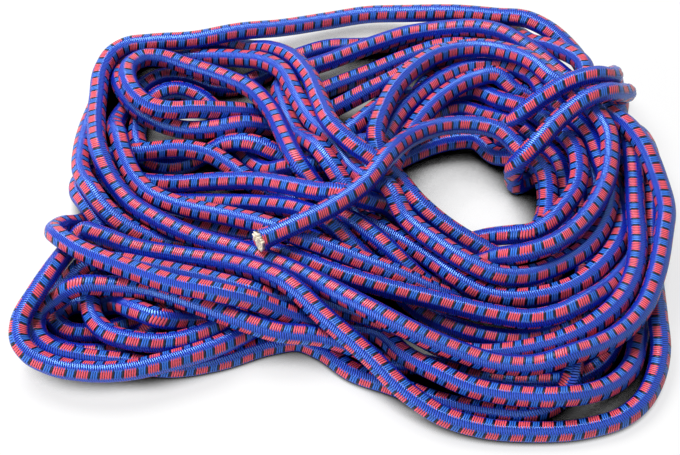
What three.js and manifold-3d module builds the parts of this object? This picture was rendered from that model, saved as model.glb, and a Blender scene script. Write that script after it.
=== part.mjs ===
// Elastic rope: about ten metres of braided cord with a rubber core, thrown together as a loose
// hank. Its own end is wrapped twice around the hank, and the cut end lies across the top.
// Millimetres, +Z up, standing on z = 0.
import * as THREE from "three";
import Module from "manifold-3d";

// Driving dimensions of the rope
const ropeDiameter = 8;
const coverWall = 0.9;
const coreClearance = 0.3;
const jointGap = 0.3;
const coreStandOut = 0.6;
const flatDepthShare = 0.1;

// How closely the turns lie: centre distance and route steps, as shares of the rope's diameter
const turnSpacingShare = 1.15;
const meshSpacingShare = 1.11;
const routeStepShare = 0.5;
const straightEndShare = 1;
const chordSagShare = 0.05;
const shortestStepShare = 0.72;
const longestStepShare = 2.9;
const layerShare = 0.95;
const ropeSides = 6;

// The view that the route's points were taken in: its distance and aim in mm, the rest in pixels
const viewDistance = 720;
const viewTiltDegrees = 50;
const aimHeight = 8;
const viewPixels = { focal: 1617, centre: [340, 227.5], hidden: 7 };

// The route, one unbroken run from the cut end to the tucked end. Each point is two pixel
// coordinates of the rope's centre and its layer, counted in rope thicknesses from the ground.
const routeRuns = {
  freeEnd: [
    259, 241, 3.6,  275, 236, 3.7,  292, 227, 3.8,  309, 218, 3.9,  326, 210, 4,  342, 202, 4,
    355, 193, 4,  366, 182, 4,  376, 171, 4,  388, 157, 3.9,  400, 146, 3.8,  412, 136, 3.7,
    425, 131, 3.6,  438, 127, 3.5,  453, 124.5, 3.4,  468, 124, 3.4,  485, 125.5, 3.4,
    500, 130, 3.3,  513, 137, 3.1,  525, 147, 2.8,
  ],
  turn01: [
    536, 158, 2.5,  544, 171, 2.2,  548, 186, 1.9,  549, 200, 1.6,  547, 216, 1.3,  541, 234, 0.9,
    529, 248, 0.9,  514, 255, 0.9,  502, 254, 1,  489, 250, 1.3,  470, 242.5, 1.7,  452, 231, 2,
    435, 219, 2.4,  419, 207, 2.8,  405, 196, 2.7,  393, 184, 2.6,  380, 173, 2.5,  365, 164, 2.4,
    351, 157, 2.5,  340, 147, 2.8,  331, 134, 3,  324, 120, 3.1,  318, 105, 3.1,  314, 91, 3.1,
    308, 78, 3.1,  301, 67, 3,  291, 58, 2.7,  279, 52, 2.3,  265, 48, 1.8,  248, 45, 1.3,
    230, 43, 1,  210, 44, 0.9,  190, 45, 0.9,  170, 46, 0.9,  150, 47, 0.9,  134, 50, 0.9,
    121, 57, 0.9,  112, 68, 0.9,  106, 82, 0.9,  102, 97, 0.9,  96, 112, 0.9,  90, 124, 0.9,
    85, 137, 0.9,  82, 152, 1.1,  82, 167, 1.3,  82, 181, 1.6,  90, 195, 1.8,  102, 208, 1.9,
    116, 220, 1.9,  132, 229, 1.8,  150, 236, 1.6,  170, 242, 1.3,  195, 246, 1.1,  220, 249, 1.1,
    245, 251, 1.2,  270, 254, 1.5,  296, 258, 1.9,  317, 265, 2.1,  337, 272, 2.1,  357, 278, 2.1,
    377, 284, 2.1,  399, 290, 2.1,  421, 296, 2.1,  442, 302, 2.1,  465, 308, 2,  488, 313, 1.9,
    510, 318, 1.8,  531, 320, 1.7,  552, 319, 1.5,  571, 315, 1.3,  588, 307, 1.1,  603, 294, 0.9,
    616, 277, 0.7,  626, 256, 0.6,  630, 232, 0.6,  630, 208, 0.6,  626, 185, 0.8,  618, 160, 1.1,
    605, 135, 1.4,
  ],
  turn02: [
    588, 114, 1.5,  570, 98, 1.5,  552, 86, 1.5,  533, 75, 1.3,  512, 67, 1.1,  490, 62, 1,
    465, 61, 1,  440, 66, 1,  420, 75, 1,  402, 85, 1,  386, 93, 1.1,  370, 99, 1.2,
    354, 104, 1.2,  338, 109, 1.1,  322, 114, 1,  304, 119, 0.9,  287, 123, 0.9,  270, 126, 1,
    255, 127, 1.2,  240, 127, 1.3,  222, 127.5, 1.4,  203, 128, 1.5,  184, 127, 1.5,
    166, 124, 1.6,  150, 118, 1.6,  137, 109, 1.6,  127, 98, 1.5,  120, 86, 1.3,  118, 74, 1,
    124, 63, 0.8,  137, 57, 0.7,  155, 56, 0.7,  175, 56, 0.8,  197, 57, 1,  220, 58, 1.3,
    240, 58.5, 1.6,  260, 61, 1.9,  275, 66, 2.1,  285, 75, 2.2,  291, 88, 2.2,  297, 103, 2.2,
    304, 118, 2.2,  313, 131, 2.2,  325, 145, 2.2,  338, 158, 2.1,  350, 169, 2,  362, 181, 1.9,
    374, 192, 1.9,  388, 203, 2,  402, 215, 2,  417, 227, 2,  432, 239, 2,  449, 250, 2,
    466, 260, 1.9,  487, 267, 1.8,  510, 271, 1.7,  530, 270.5, 1.7,  550, 267, 1.7,
    570, 259, 1.7,  588, 248, 1.7,  600, 235, 1.6,  607, 220, 1.5,  610, 205, 1.4,  609, 188, 1.3,
    603, 170, 1.4,  598, 155, 1.7,  592, 140, 2,  584, 126, 2.1,  573, 113, 2.2,
  ],
  turn03: [
    560, 102, 2.3,  546, 93, 2.2,  530, 82, 2,  513, 73, 1.8,  497, 67, 1.9,  480, 66, 2.1,
    464, 69, 2.3,  447, 76, 2.4,  432, 85, 2.4,  418, 96, 2.4,  405, 111, 2.4,  394, 125, 2.3,
    384, 139, 2.1,  376, 153, 1.7,  368, 170, 1.2,  358, 188, 0.8,  346, 207, 0.6,  332, 226, 0.5,
    316, 245, 0.5,  298, 263, 0.5,  279, 280, 0.5,  260, 297, 0.5,  241, 311, 0.6,  222, 322, 0.7,
    202, 331, 0.7,  180, 338, 0.7,  157, 341.5, 0.7,  134, 342, 0.7,  115, 338, 0.7,
    100, 330, 0.7,  91, 319, 0.7,  87, 306, 1.1,  88, 290, 1,  93, 272, 0.6,  100, 254, 0.6,
    103, 237, 0.7,  98, 222, 0.8,  88, 211, 0.9,  80, 200, 1,  79, 188, 1,  83, 177, 0.9,
    95, 170, 0.7,  110, 169, 0.6,  127, 174, 0.7,  147, 181, 0.9,  167, 184, 1.2,  186, 183, 1.5,
    206, 182, 1.7,  226, 181, 1.9,  246, 180.5, 2.1,  267, 182, 2.4,  287, 186, 2.6,
    306, 191, 2.8,  324, 198, 2.6,  345, 204, 1.9,  366, 208, 1.3,  388, 214, 1,  408, 228, 0.7,
    430, 237, 0.6,  452, 245, 0.6,  476, 249, 0.9,  500, 246, 1.7,  521, 240, 2.3,
    541, 231.5, 2.6,  557, 214, 2.7,  568, 203, 2.7,  577, 189, 2.7,  580, 174, 2.6,
    580, 158, 2.6,  577, 142, 2.5,  571, 127, 2.3,
  ],
  turn04: [
    560, 120, 1.9,  545, 117, 1.6,  530, 115, 1.4,  518, 110, 1.4,  507, 102, 1.4,  492, 96, 1.3,
    477, 93, 1.1,  460, 92, 0.8,  438, 93, 0.7,  415, 97, 0.7,  395, 103, 0.8,  378, 111, 1,
    366, 121, 1.2,  353, 133, 1.2,  340, 146, 1,  325, 158, 0.8,  309, 166, 0.8,  293, 165, 1.1,
    279, 158, 1.5,  263, 149.5, 1.8,  246, 144.5, 1.9,  228, 144, 1.7,  212, 150, 0.9,
    195, 164, 0.5,  176, 169, 0.4,  158, 169, 0.4,  143, 160, 0.4,  137, 141, 0.5,  138, 127, 0.5,
    143, 114, 0.6,  149, 103, 0.9,  157, 94.5, 1.1,  168, 90, 1.2,  182, 90, 1.2,  195, 94, 1.1,
    206, 101.5, 0.9,  216, 112, 0.7,  226, 125, 0.5,  235, 140, 0.5,  245, 155, 0.5,
    256, 165, 0.7,  270, 171, 0.9,  287, 178, 0.9,  304, 185, 0.7,  322, 189, 0.6,  341, 187, 0.6,
    360, 178, 0.7,  378, 166, 0.8,  395, 152, 0.9,  412, 138, 1.1,  430, 123, 1.3,  447, 112, 1.4,
    465, 108, 1.5,  484, 112, 1.6,  500, 119, 1.6,  515, 129, 1.5,  530, 140, 1.4,  543, 147, 1.4,
  ],
  turn05: [
    553, 152, 1.5,  560, 163, 1.5,  564, 178, 1.4,  566, 195, 1.3,  567, 213, 1,  564, 234, 0.8,
    555, 254, 0.7,  556, 275, 0.6,  528, 287, 0.7,  494, 291, 0.8,  470, 293, 1,  447, 290, 1.4,
    425, 284, 1.8,  404, 277.5, 2.1,  385, 271, 2.2,  365, 264, 2.2,  346, 256, 2.2,
    327, 250, 2.1,  307, 243, 1.9,  288, 236, 1.7,  268, 228, 1.7,  245, 220, 1.9,  225, 216, 2.1,
    205, 212, 2.2,  180, 206, 2.4,  155, 198, 2.5,  141, 188, 2.5,  131, 176, 2.4,  123, 162, 2.2,
    117, 147, 1.9,  114.5, 132, 1.6,  116, 118, 1.2,  124, 106, 0.9,  135, 97, 0.6,  150, 82, 0.5,
    170, 76, 0.5,  192, 79, 0.5,  214, 88, 0.5,  236, 89, 0.6,  256, 78, 0.7,  272, 69, 0.9,
    287, 60, 1.1,  302, 54, 1.2,  318, 49.5, 1.3,  336, 46.5, 1.3,  352, 46, 1.2,  368, 47, 1,
    390, 46, 0.9,  412, 40, 0.8,  435, 33, 0.8,  460, 26, 0.9,  485, 23, 1.1,  508, 26, 1.5,
    524, 34, 2.1,  536, 41, 2.6,  549, 48, 2.8,  562, 56, 2.8,  574, 66, 2.8,  584, 80, 2.6,
  ],
  turn06: [
    591, 94, 2.5,  599, 106, 2.5,  611, 117.5, 2.6,  626, 131, 2.6,  639, 146, 2.7,  648, 160, 2.7,
    656, 177, 2.6,  663, 194, 2.6,  666.5, 212, 2.6,  664, 232, 2.7,  659, 250, 2.7,
    656, 270, 2.7,  652, 288, 2.7,  645, 305, 2.7,  634, 321, 2.7,  619, 335, 2.7,  600, 346, 2.7,
    575, 357.5, 2.7,  549, 364.5, 2.7,  522, 366.5, 2.7,  497, 364, 2.7,  474, 358.5, 2.7,
    452, 348, 2.7,  430, 340, 2.7,  408, 330, 2.7,  386, 319.5, 2.7,  366, 309, 2.7,
    346, 298, 2.7,  325, 287.5, 2.6,  306, 278, 2.6,  286, 268, 2.5,  263, 258, 2.4,
    240, 250, 2.4,  210, 242.5, 2.4,  190, 236, 2.4,  172, 229.5, 2.4,  155, 221, 2.4,
    140, 211, 2.4,  127, 199, 2.4,  116, 186, 2.4,  108, 172, 2.4,  103, 158, 2.4,  100, 144, 2.4,
    98, 130, 2.3,  98, 115, 2.3,  98.5, 100, 2.2,  100, 86, 2.1,  103, 73, 2,  109, 60, 1.9,
    119, 50, 1.9,  134, 44.5, 1.9,  152, 43, 2,  170, 43, 2,  188, 41.5, 2,  206, 39, 2,
    224, 36.5, 2,  243, 34.5, 1.9,  262, 32, 1.8,  281, 29.5, 1.8,  300, 26.5, 1.8,
    320, 22.5, 1.8,  340, 18.5, 1.8,  360, 15.5, 1.8,  380, 13.5, 1.8,  400, 14, 1.8,
    425, 14, 1.8,  450, 14, 1.9,  475, 15.5, 2,  497, 18.5, 2.2,  518, 23, 2.4,  538, 30, 2.6,
    555, 39.5, 2.6,  569, 51.5, 2.5,  580, 66, 2.3,  588, 80, 2,
  ],
  turn07: [
    590, 97, 1.7,  597, 112, 1.3,  606, 129, 1,  617, 147, 0.9,  626, 165, 0.8,  633, 183, 0.8,
    640, 203, 0.8,  645, 223, 0.9,  649, 243, 1.1,  651, 265, 1.3,  652.5, 287, 1.2,  654, 308, 1,
    657, 330, 0.8,  660, 350, 0.6,  657, 370, 0.6,  651, 389, 0.6,  639, 406, 0.6,  621, 419, 0.6,
    599, 426, 0.6,  575, 430, 0.6,  550, 431.5, 0.6,  525, 431.5, 0.6,  500, 430, 0.6,
    477, 427, 0.7,  455, 421, 0.8,  434, 412, 1,  415, 399, 1.2,  397, 383, 1.4,  380, 366, 1.6,
    363, 350, 1.8,  346, 335, 2,  328, 321, 2.1,  310, 308, 2.1,  290, 295, 2.1,  270, 283, 2.1,
    250, 272.5, 2.1,  230, 264.5, 2.1,  207, 259, 2.1,  180, 255.5, 2.1,  155, 252.5, 2.1,
    134, 248.5, 2.1,  115, 242, 2.1,  98, 235, 1.9,  84, 229.5, 1.5,  73, 233, 1,  67, 246, 0.9,
    68, 255, 1.2,  61, 267, 1.5,  53, 279, 1.7,  43, 291, 1.7,  34, 302, 1.7,  25, 314, 1.6,
    18.5, 329, 1.5,  18.5, 341, 1.5,  26, 352, 1.4,  40, 361, 1.5,  57, 367, 1.5,  77, 371, 1.6,
    98, 372, 1.6,  119, 371.5, 1.6,  140, 368.5, 1.6,  160, 363.5, 1.5,  180, 357, 1.4,
    200, 349.5, 1.3,  220, 341.5, 1.2,  240, 333.5, 1,  260, 323, 0.8,  280, 308, 0.6,
    298, 290, 0.5,  315, 270, 0.5,  331, 250, 0.5,  345, 229, 0.5,  356, 208, 0.6,  362, 187, 0.9,
    366, 168, 1.4,  370, 150, 2,  375, 133, 2.3,  380, 116, 2.5,  388, 99, 2.6,  398, 84, 2.6,
    411, 71, 2.6,  426, 60, 2.5,  443, 52.5, 2.4,  462, 49, 2.3,  481, 48, 2.3,  500, 51, 2.3,
    516, 58, 2.4,  531, 69, 2.4,  543, 83, 2.4,  557, 95, 2.3,  575, 102, 2.3,
  ],
  turn08: [
    592, 109, 2.5,  604, 119, 2.7,  610, 134, 2.7,  611, 150, 2.7,  610, 165, 2.7,  607, 179, 2.7,
    602, 193, 2.7,  594, 207, 2.7,  584, 220, 2.6,  572, 232, 2.6,  557, 243, 2.6,
    540, 251.5, 2.5,  521, 259, 2.3,  502, 263, 1.9,  484, 265, 1.3,  464, 262, 0.8,
    441, 256, 0.6,  416, 248, 0.5,  391, 242, 0.6,  365, 236, 0.7,  340, 238, 0.7,  316, 241, 0.7,
    290, 243, 0.8,  265, 241, 0.9,  241, 236, 1,  219, 231.5, 1,  195, 227, 0.9,  170, 222, 0.8,
    145, 216, 0.7,  122, 211, 0.5,  104, 210, 0.5,  90, 216, 0.7,  77, 220.5, 1,  66, 226.5, 1.2,
    57.5, 234, 1.4,  56, 242, 1.6,  62, 247.5, 1.8,  78, 253.5, 2,  104, 262, 2.1,  124, 270, 2.1,
    147, 278, 2.1,  170, 286, 2.1,  192, 292, 2.1,  215, 297, 2.1,  236, 301, 2,  257, 305, 1.9,
    279, 310.5, 1.6,  300, 316, 1.2,  325, 322, 0.9,  350, 328, 0.8,  375, 336, 0.9,
    400, 347, 1.1,  422, 361, 1.2,  443, 374.5, 1.2,  462, 384, 1.2,  487, 391.5, 1.2,
    515, 396, 1.2,  540, 397.5, 1.2,  562, 397, 1.2,  584, 394, 1.2,  603, 389.5, 1.2,
    619, 381, 1.2,  631, 368, 1.1,  637, 352, 1,  639, 335, 0.8,  640, 315, 0.6,  641, 292, 0.5,
    641, 268, 0.5,  638, 243, 0.5,  631, 218, 0.5,  622, 193, 0.5,  614, 168, 0.6,  606, 146, 0.8,
    598, 124, 1.1,
  ],
  turn09: [
    586, 103, 1.4,  567, 86, 1.4,  547, 70, 1.3,  526, 57, 1.2,  504, 48, 1.2,  480, 44, 1.3,
    460, 43, 1.5,  443, 45, 1.7,  426, 50, 1.8,  408, 57, 1.8,  390, 64.5, 1.7,  372, 72, 1.7,
    354, 79, 1.6,  338, 85, 1.5,  322, 91, 1.2,  304, 99, 1,  284, 107, 1,  265, 111, 1.3,
    246, 112, 1.6,  226, 112, 1.9,  205, 112.5, 2,  185, 113, 2.1,  168, 112.5, 2.1,
    152, 109.5, 2.1,  140, 102, 2.1,  131, 92.5, 2.1,  126, 82, 2,  127, 71, 1.9,  133, 62, 1.9,
    143, 57, 1.9,  156, 57, 1.9,  170, 60, 2,  184, 64.5, 2,  199, 69.5, 2.1,  213, 74, 2.2,
    226, 78, 2.3,  240, 83, 2.4,  252, 89, 2.5,  262, 97, 2.6,  270, 108, 2.6,  278, 121, 2.6,
    286, 135, 2.6,  295, 150, 2.5,  304, 165, 2.2,  313, 179, 1.8,  322, 192, 1.5,  333, 206, 1.7,
    346, 219.5, 2,  363, 231, 2.2,  381, 242.5, 2.2,  397, 254, 2.1,  413, 267, 1.8,
    431, 277, 1.3,  455, 280, 0.9,  480, 277, 0.7,  503, 270, 0.4,  522, 257, 0.3,  538, 238, 0.3,
    548, 219, 0.4,  549, 202, 0.6,  545, 186, 0.6,
  ],
  turn10: [
    531, 173, 0.8,  518, 163, 1,  510, 154, 1.1,  503, 146, 1.2,  490, 138, 1.3,  475, 136, 1.4,
    458, 138, 1.4,  440, 143.5, 1.4,  421, 149, 1.3,  402, 155, 1.1,  382, 167, 0.8,
    360, 182, 0.6,  337, 196, 0.5,  312, 203, 0.5,  288, 201, 0.5,  266, 193, 0.7,  249, 182, 1,
    236, 170.5, 1.2,  224, 161, 1.3,  210, 153.5, 1.4,  193, 150.5, 1.4,  175, 150.5, 1.4,
    157, 153, 1.3,  140, 156.5, 1.2,  124, 160.5, 0.9,  109, 167, 0.6,  104, 179, 0.5,
    112, 192, 0.5,  130, 200, 0.6,  150, 203, 0.7,  170, 204, 0.9,  190, 204, 1.1,
    210, 203.5, 1.3,  229, 203.5, 1.5,  248, 204, 1.7,  268, 205, 1.8,  288, 208, 1.9,
    306, 213, 1.8,  322, 221, 1.5,  337, 231, 1.2,  353, 243, 1,  368, 258, 0.8,  383, 275, 0.7,
    399, 292, 0.8,  415, 307, 1,  432, 318, 1.3,  452, 326.5, 1.5,  473, 333.5, 1.5,
    497, 338.5, 1.4,  520, 340.5, 1.3,  543, 339, 1,  565, 333, 0.8,  586, 321, 0.6,
    602, 303, 0.5,  612, 281, 0.5,  617, 256, 0.5,  618, 231, 0.5,  615, 206, 0.6,  608, 181, 0.8,
    599, 157, 1.1,  588, 135, 1.3,
  ],
  turn11: [
    574, 117, 1.5,  559, 104, 1.6,  543, 97, 1.7,  531, 98, 2,  523, 90, 2.3,  509, 81.5, 2.5,
    492, 78, 2.6,  473, 80, 2.6,  455, 88, 2.6,  438, 99, 2.6,  424, 112, 2.5,  411, 126, 2.3,
    398, 141, 2,  386, 157, 1.6,  375, 176, 1.1,  363, 196, 0.7,  349, 216, 0.5,  333, 236, 0.4,
    316, 256, 0.4,  296, 275, 0.4,  274, 291, 0.4,  250, 305, 0.4,  228, 313, 0.5,  208, 318, 0.6,
    190, 320.5, 0.6,  168, 322.5, 0.6,  146, 321, 0.6,  125, 309, 0.5,  105, 303, 0.5,
    87, 300, 0.4,  70, 303, 0.4,  59, 312, 0.4,  54, 325, 0.4,  62, 333, 0.4,  77, 335, 0.4,
    97, 334, 0.4,  120, 331, 0.4,  145, 331, 0.4,  170, 332, 0.4,  195, 326, 0.4,  220, 314, 0.4,
    245, 299, 0.4,  268, 281, 0.4,  288, 261, 0.4,  306, 241, 0.4,  322, 221, 0.4,  338, 201, 0.4,
    354, 182, 0.5,  372, 164, 0.6,  392, 147, 0.7,  413, 131, 0.8,  436, 118, 0.8,  460, 111, 0.9,
    485, 113, 1,  510, 122, 1,  533, 134, 1,
  ],
  turn12: [
    552, 147, 1,  567, 166, 0.9,  578, 187, 0.8,  586, 211, 0.6,  590, 236, 0.5,  590, 262, 0.5,
    588, 288, 0.5,  584, 314, 0.5,  580, 339, 0.5,  577, 362, 0.5,  573, 383, 0.4,  565, 400, 0.4,
    550, 411, 0.4,  527, 415, 0.4,  503, 414, 0.4,  478, 410.5, 0.4,  450, 405, 0.4,
    425, 397, 0.4,  400, 386, 0.5,  378, 375.5, 0.6,  358, 363.5, 0.6,  340, 353.5, 0.6,
    320, 344.5, 0.6,  303, 340, 0.6,  290, 339, 0.6,  277, 342, 0.6,  256, 348, 0.6,
    235, 355, 0.6,  213, 361, 0.5,  190, 366, 0.5,  165, 368, 0.5,  140, 365, 0.5,  115, 360, 0.6,
    93, 358, 0.8,  75, 356.5, 0.9,  58, 353, 1,  44, 346, 1,  36, 335, 1,  34, 322, 1,
    37, 310, 1.1,  46, 300, 1.2,  59, 294.5, 1.3,  77, 290.5, 1.4,  98, 288.5, 1.4,  120, 288, 1.4,
    142, 291, 1.4,  163, 297, 1.4,  185, 304, 1.4,  207, 310, 1.4,  228, 315.5, 1.4,
    250, 321, 1.4,  270, 326, 1.3,  291, 331, 1.2,  310, 334, 1.1,  330, 339, 1,  350, 344, 0.9,
    375, 349, 0.8,  400, 355, 0.7,  425, 363, 0.5,  455, 373, 0.4,  485, 379, 0.4,  517, 383, 0.4,
    550, 381.5, 0.4,  580, 374, 0.4,  603, 360, 0.4,  617, 339, 0.4,  624, 314, 0.4,
    627, 286, 0.4,  628, 258, 0.4,  624, 230, 0.4,  617, 202, 0.5,  607, 175, 0.6,  598, 150, 0.8,
  ],
  turn13: [
    583, 128, 0.9,  565, 110, 0.9,  545, 95, 0.9,  522, 84, 0.8,  497, 78, 0.7,  470, 78, 0.6,
    445, 84, 0.6,  423, 96, 0.6,  404, 111, 0.6,  387, 129, 0.5,  371, 148, 0.4,  355, 168, 0.4,
    340, 188, 0.4,  325, 208, 0.4,  309, 228, 0.4,  291, 248, 0.4,  272, 267, 0.4,  251, 284, 0.4,
    228, 299, 0.4,  204, 312, 0.4,  180, 325, 0.4,  158, 338, 0.4,  138, 350, 0.4,  115, 357, 0.4,
    90, 358, 0.4,  66, 354, 0.4,  46, 343, 0.5,  34, 328, 0.5,  32, 311, 0.6,  37, 297, 0.7,
    45, 287, 0.9,  56, 279.5, 1,  72, 274, 1.1,  88, 270.5, 1,  108, 266, 1,  130, 264, 1.1,
    153, 268, 1.2,  173, 273, 1.2,  195, 277.5, 1.2,  216, 283, 1.2,  237, 289, 1.2,
    258, 295, 1.1,  285, 300, 1,  312, 305, 1,  338, 312, 1.1,  362, 322, 1.2,  388, 334, 1.2,
    418, 345, 1.3,  450, 352, 1.4,  480, 355, 1.5,  503, 353, 1.7,  522, 350, 1.9,  542, 346.5, 2,
    562, 340.5, 2.1,  583, 330, 2.2,  600, 317.5, 2.2,  614, 304, 2.3,  625, 289, 2.3,
    633, 273, 2.4,  637, 257, 2.4,  637.5, 240, 2.4,  636, 221, 2.4,  634, 202, 2.4,
    633, 183, 2.4,  631, 165, 2.4,  627, 147, 2.3,  620, 130, 2.2,
  ],
  turn14: [
    607, 113, 2.1,  592, 99, 2.2,  577, 88, 2.3,  563, 78, 2.4,  549, 65, 2.5,  534, 53, 2.5,
    519, 43, 2.4,  502, 35.5, 2.3,  481, 30, 2.2,  460, 29, 2.1,  440, 30, 2.1,  420, 31.5, 2.1,
    400, 36, 2,  380, 42, 2,  360, 50, 2,  340, 57.5, 2,  320, 64, 1.9,  305, 69, 1.8,
    291, 74, 1.6,  281, 83, 1.6,  280, 95, 1.7,  285, 107, 1.8,  292, 119, 1.9,  300, 132, 1.9,
    308, 144, 1.9,  317, 156, 1.9,  327, 169, 1.9,  339, 183, 1.7,  352, 198, 1.4,  365, 212, 1.2,
    380, 226, 1.2,  395, 239.5, 1.2,  409, 252, 1.2,  424, 265, 1.2,  438, 276, 1.2,
    455, 286, 1.3,  474, 293.5, 1.3,  497, 298, 1.3,  520, 298.5, 1.4,  545, 296, 1.4,
    567, 289.5, 1.4,  589, 279.5, 1.3,  606, 266, 1.2,  617, 250, 1,  620, 233, 0.8,
    619, 214, 0.6,  614, 195, 0.5,  605, 177, 0.5,  596, 160, 0.5,  590, 144, 0.4,
  ],
  tieWraps: [
    592, 128, 0.2,  598, 119, 0.2,  601, 112, 0.5,  602, 103, 1.3,  603, 96, 2.6,  601, 87, 3.6,
    593, 84.5, 3.9,  584, 82.5, 4,  570, 86, 4,  556, 91.5, 4,  541, 99, 3.9,  528, 109, 3.6,
    516, 121, 3,  509, 131, 2,  511, 142, 1,  523, 147, 0.3,  543, 146, 0,  563, 139, 0,
    583, 131, 0,  596, 121, 0.3,  603, 114, 0.9,  607, 111, 2.1,  607, 105, 3.2,  602, 101, 3.9,
    594, 101.5, 4.1,  586, 103, 4.1,  571, 111, 4.1,  557, 121, 4.1,  544, 135, 4,  532, 149, 3.7,
    521, 160, 3,  514, 170, 2,  519, 177, 0.9,  532, 178, 0.3,  546, 172, 0.1,
  ],
};

// Settling of the turns: rounds, and the shares that steer them
const settleRounds = 900;
const pairRefreshRounds = 5;
const neighbourSteps = 6;
const hiddenNeighbourSteps = 8;
const pullShare = 0.1;
const hiddenPullShare = 0.004;
const sagPerRoundShare = 0.0075;
const orderShare = 0.19;
const deepShare = 0.8;
const closeShare = 0.6;
const flipShare = 0.35;
const stuckShare = 0.45;
const reachShare = 0.5;
const pushCapShare = 0.31;

const ropeRadius = ropeDiameter / 2;
const bedHeight = ropeRadius - ropeDiameter * flatDepthShare;
const straightEndLength = ropeDiameter * straightEndShare;

// Small vector helpers on flat arrays of x, y, z
const at = (list, i) => [list[3 * i], list[3 * i + 1], list[3 * i + 2]];
const minus = (a, b) => [a[0] - b[0], a[1] - b[1], a[2] - b[2]];
const plus = (a, b) => [a[0] + b[0], a[1] + b[1], a[2] + b[2]];
const times = (a, k) => [a[0] * k, a[1] * k, a[2] * k];
const dot = (a, b) => a[0] * b[0] + a[1] * b[1] + a[2] * b[2];
const cross = (a, b) => [
  a[1] * b[2] - a[2] * b[1],
  a[2] * b[0] - a[0] * b[2],
  a[0] * b[1] - a[1] * b[0],
];
const norm = (a) => Math.sqrt(dot(a, a));
const unit = (a) => times(a, 1 / norm(a));

// The eye of the view, and the sight line through a point of the picture
const tilt = (viewTiltDegrees * Math.PI) / 180;
const eye = [0, -Math.cos(tilt) * viewDistance, aimHeight + Math.sin(tilt) * viewDistance];
const viewAhead = [0, Math.cos(tilt), -Math.sin(tilt)];
const viewUp = [0, Math.sin(tilt), Math.cos(tilt)];

function sightLine(u, v) {
  const across = u - viewPixels.centre[0];
  const rise = viewPixels.centre[1] - v;
  return plus(plus(times(viewAhead, viewPixels.focal), [across, 0, 0]), times(viewUp, rise));
}

function liftToHeight(u, v, height) {
  const line = sightLine(u, v);
  return plus(eye, times(line, (eye[2] - height) / -line[2]));
}

function pictureOf(point) {
  const offset = minus(point, eye);
  const scale = viewPixels.focal / dot(offset, viewAhead);
  return [viewPixels.centre[0] + offset[0] * scale, viewPixels.centre[1] - dot(offset, viewUp) * scale];
}

// The route's points in mm, smoothed into a curve and cut into even steps
function evenRoute() {
  const knots = [];
  const runEnds = [];
  for (const run of Object.values(routeRuns)) {
    for (let i = 0; i < run.length; i += 3) {
      knots.push(liftToHeight(run[i], run[i + 1], run[i + 2] * ropeDiameter * layerShare));
    }
    runEnds.push(knots.length - 1);
  }
  const last = knots.length - 1;
  const along = [0];
  for (let i = 0; i < last; i += 1) {
    along.push(along[i] + norm(minus(knots[i + 1], knots[i])));
  }
  const leans = knots.slice(1).map((knot, i) =>
    times(minus(knot, knots[i]), 1 / (along[i + 1] - along[i])));
  const slopes = knots.map((knot, i) => {
    if (i === 0) return leans[0];
    if (i === last) return leans[last - 1];
    const before = along[i] - along[i - 1];
    const after = along[i + 1] - along[i];
    return times(plus(times(leans[i - 1], after), times(leans[i], before)), 1 / (before + after));
  });
  const steps = Math.round(along[last] / (ropeDiameter * routeStepShare));
  const points = new Float64Array(3 * (steps + 1));
  const marks = [];
  let knot = 0;
  for (let k = 0; k <= steps; k += 1) {
    const distance = (along[last] * k) / steps;
    while (knot < last - 1 && along[knot + 1] <= distance) knot += 1;
    const span = along[knot + 1] - along[knot];
    const t = (distance - along[knot]) / span;
    const point = plus(
      plus(times(knots[knot], 2 * t ** 3 - 3 * t ** 2 + 1),
        times(slopes[knot], (t ** 3 - 2 * t ** 2 + t) * span)),
      plus(times(knots[knot + 1], 3 * t ** 2 - 2 * t ** 3),
        times(slopes[knot + 1], (t ** 3 - t ** 2) * span)),
    );
    points.set(point, 3 * k);
    if (marks.length < runEnds.length && knot >= runEnds[marks.length]) marks.push(k);
  }
  for (let k = 0; k < 3; k += 1) smoothList(points, 3, 0.5);
  return { points, joints: [marks[0], marks[marks.length - 1]] };
}

// Moves each inner value towards the mean of its two neighbours
function smoothList(list, width, share) {
  const before = Float64Array.from(list);
  for (let i = width; i < list.length - width; i += 1) {
    list[i] = before[i] + share * ((before[i - width] + before[i + width]) / 2 - before[i]);
  }
}

// All pairs of steps, far enough apart along the rope, whose places are within reach
function nearPairs(places, width, reach, apart) {
  const count = places.length / width;
  const cells = new Map();
  const key = (x, y, z) => (x + 512) * 1048576 + (y + 512) * 1024 + z + 512;
  const cellOf = (i) => [0, 1, 2].map((c) =>
    (c < width ? Math.floor(places[width * i + c] / reach) : 0));
  const pairs = [];
  for (let i = 0; i < count; i += 1) {
    const [x, y, z] = cellOf(i);
    for (let dx = -1; dx <= 1; dx += 1) {
      for (let dy = -1; dy <= 1; dy += 1) {
        for (let dz = -1; dz <= 1; dz += 1) {
          for (const j of cells.get(key(x + dx, y + dy, z + dz)) ?? []) {
            if (i - j <= apart) continue;
            let sum = 0;
            for (let c = 0; c < width; c += 1) {
              sum += (places[width * i + c] - places[width * j + c]) ** 2;
            }
            if (sum <= reach * reach) pairs.push([j, i]);
          }
        }
      }
    }
    const own = key(x, y, z);
    if (!cells.has(own)) cells.set(own, []);
    cells.get(own).push(i);
  }
  return pairs.sort((a, b) => a[0] - b[0] || a[1] - b[1]);
}

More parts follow.
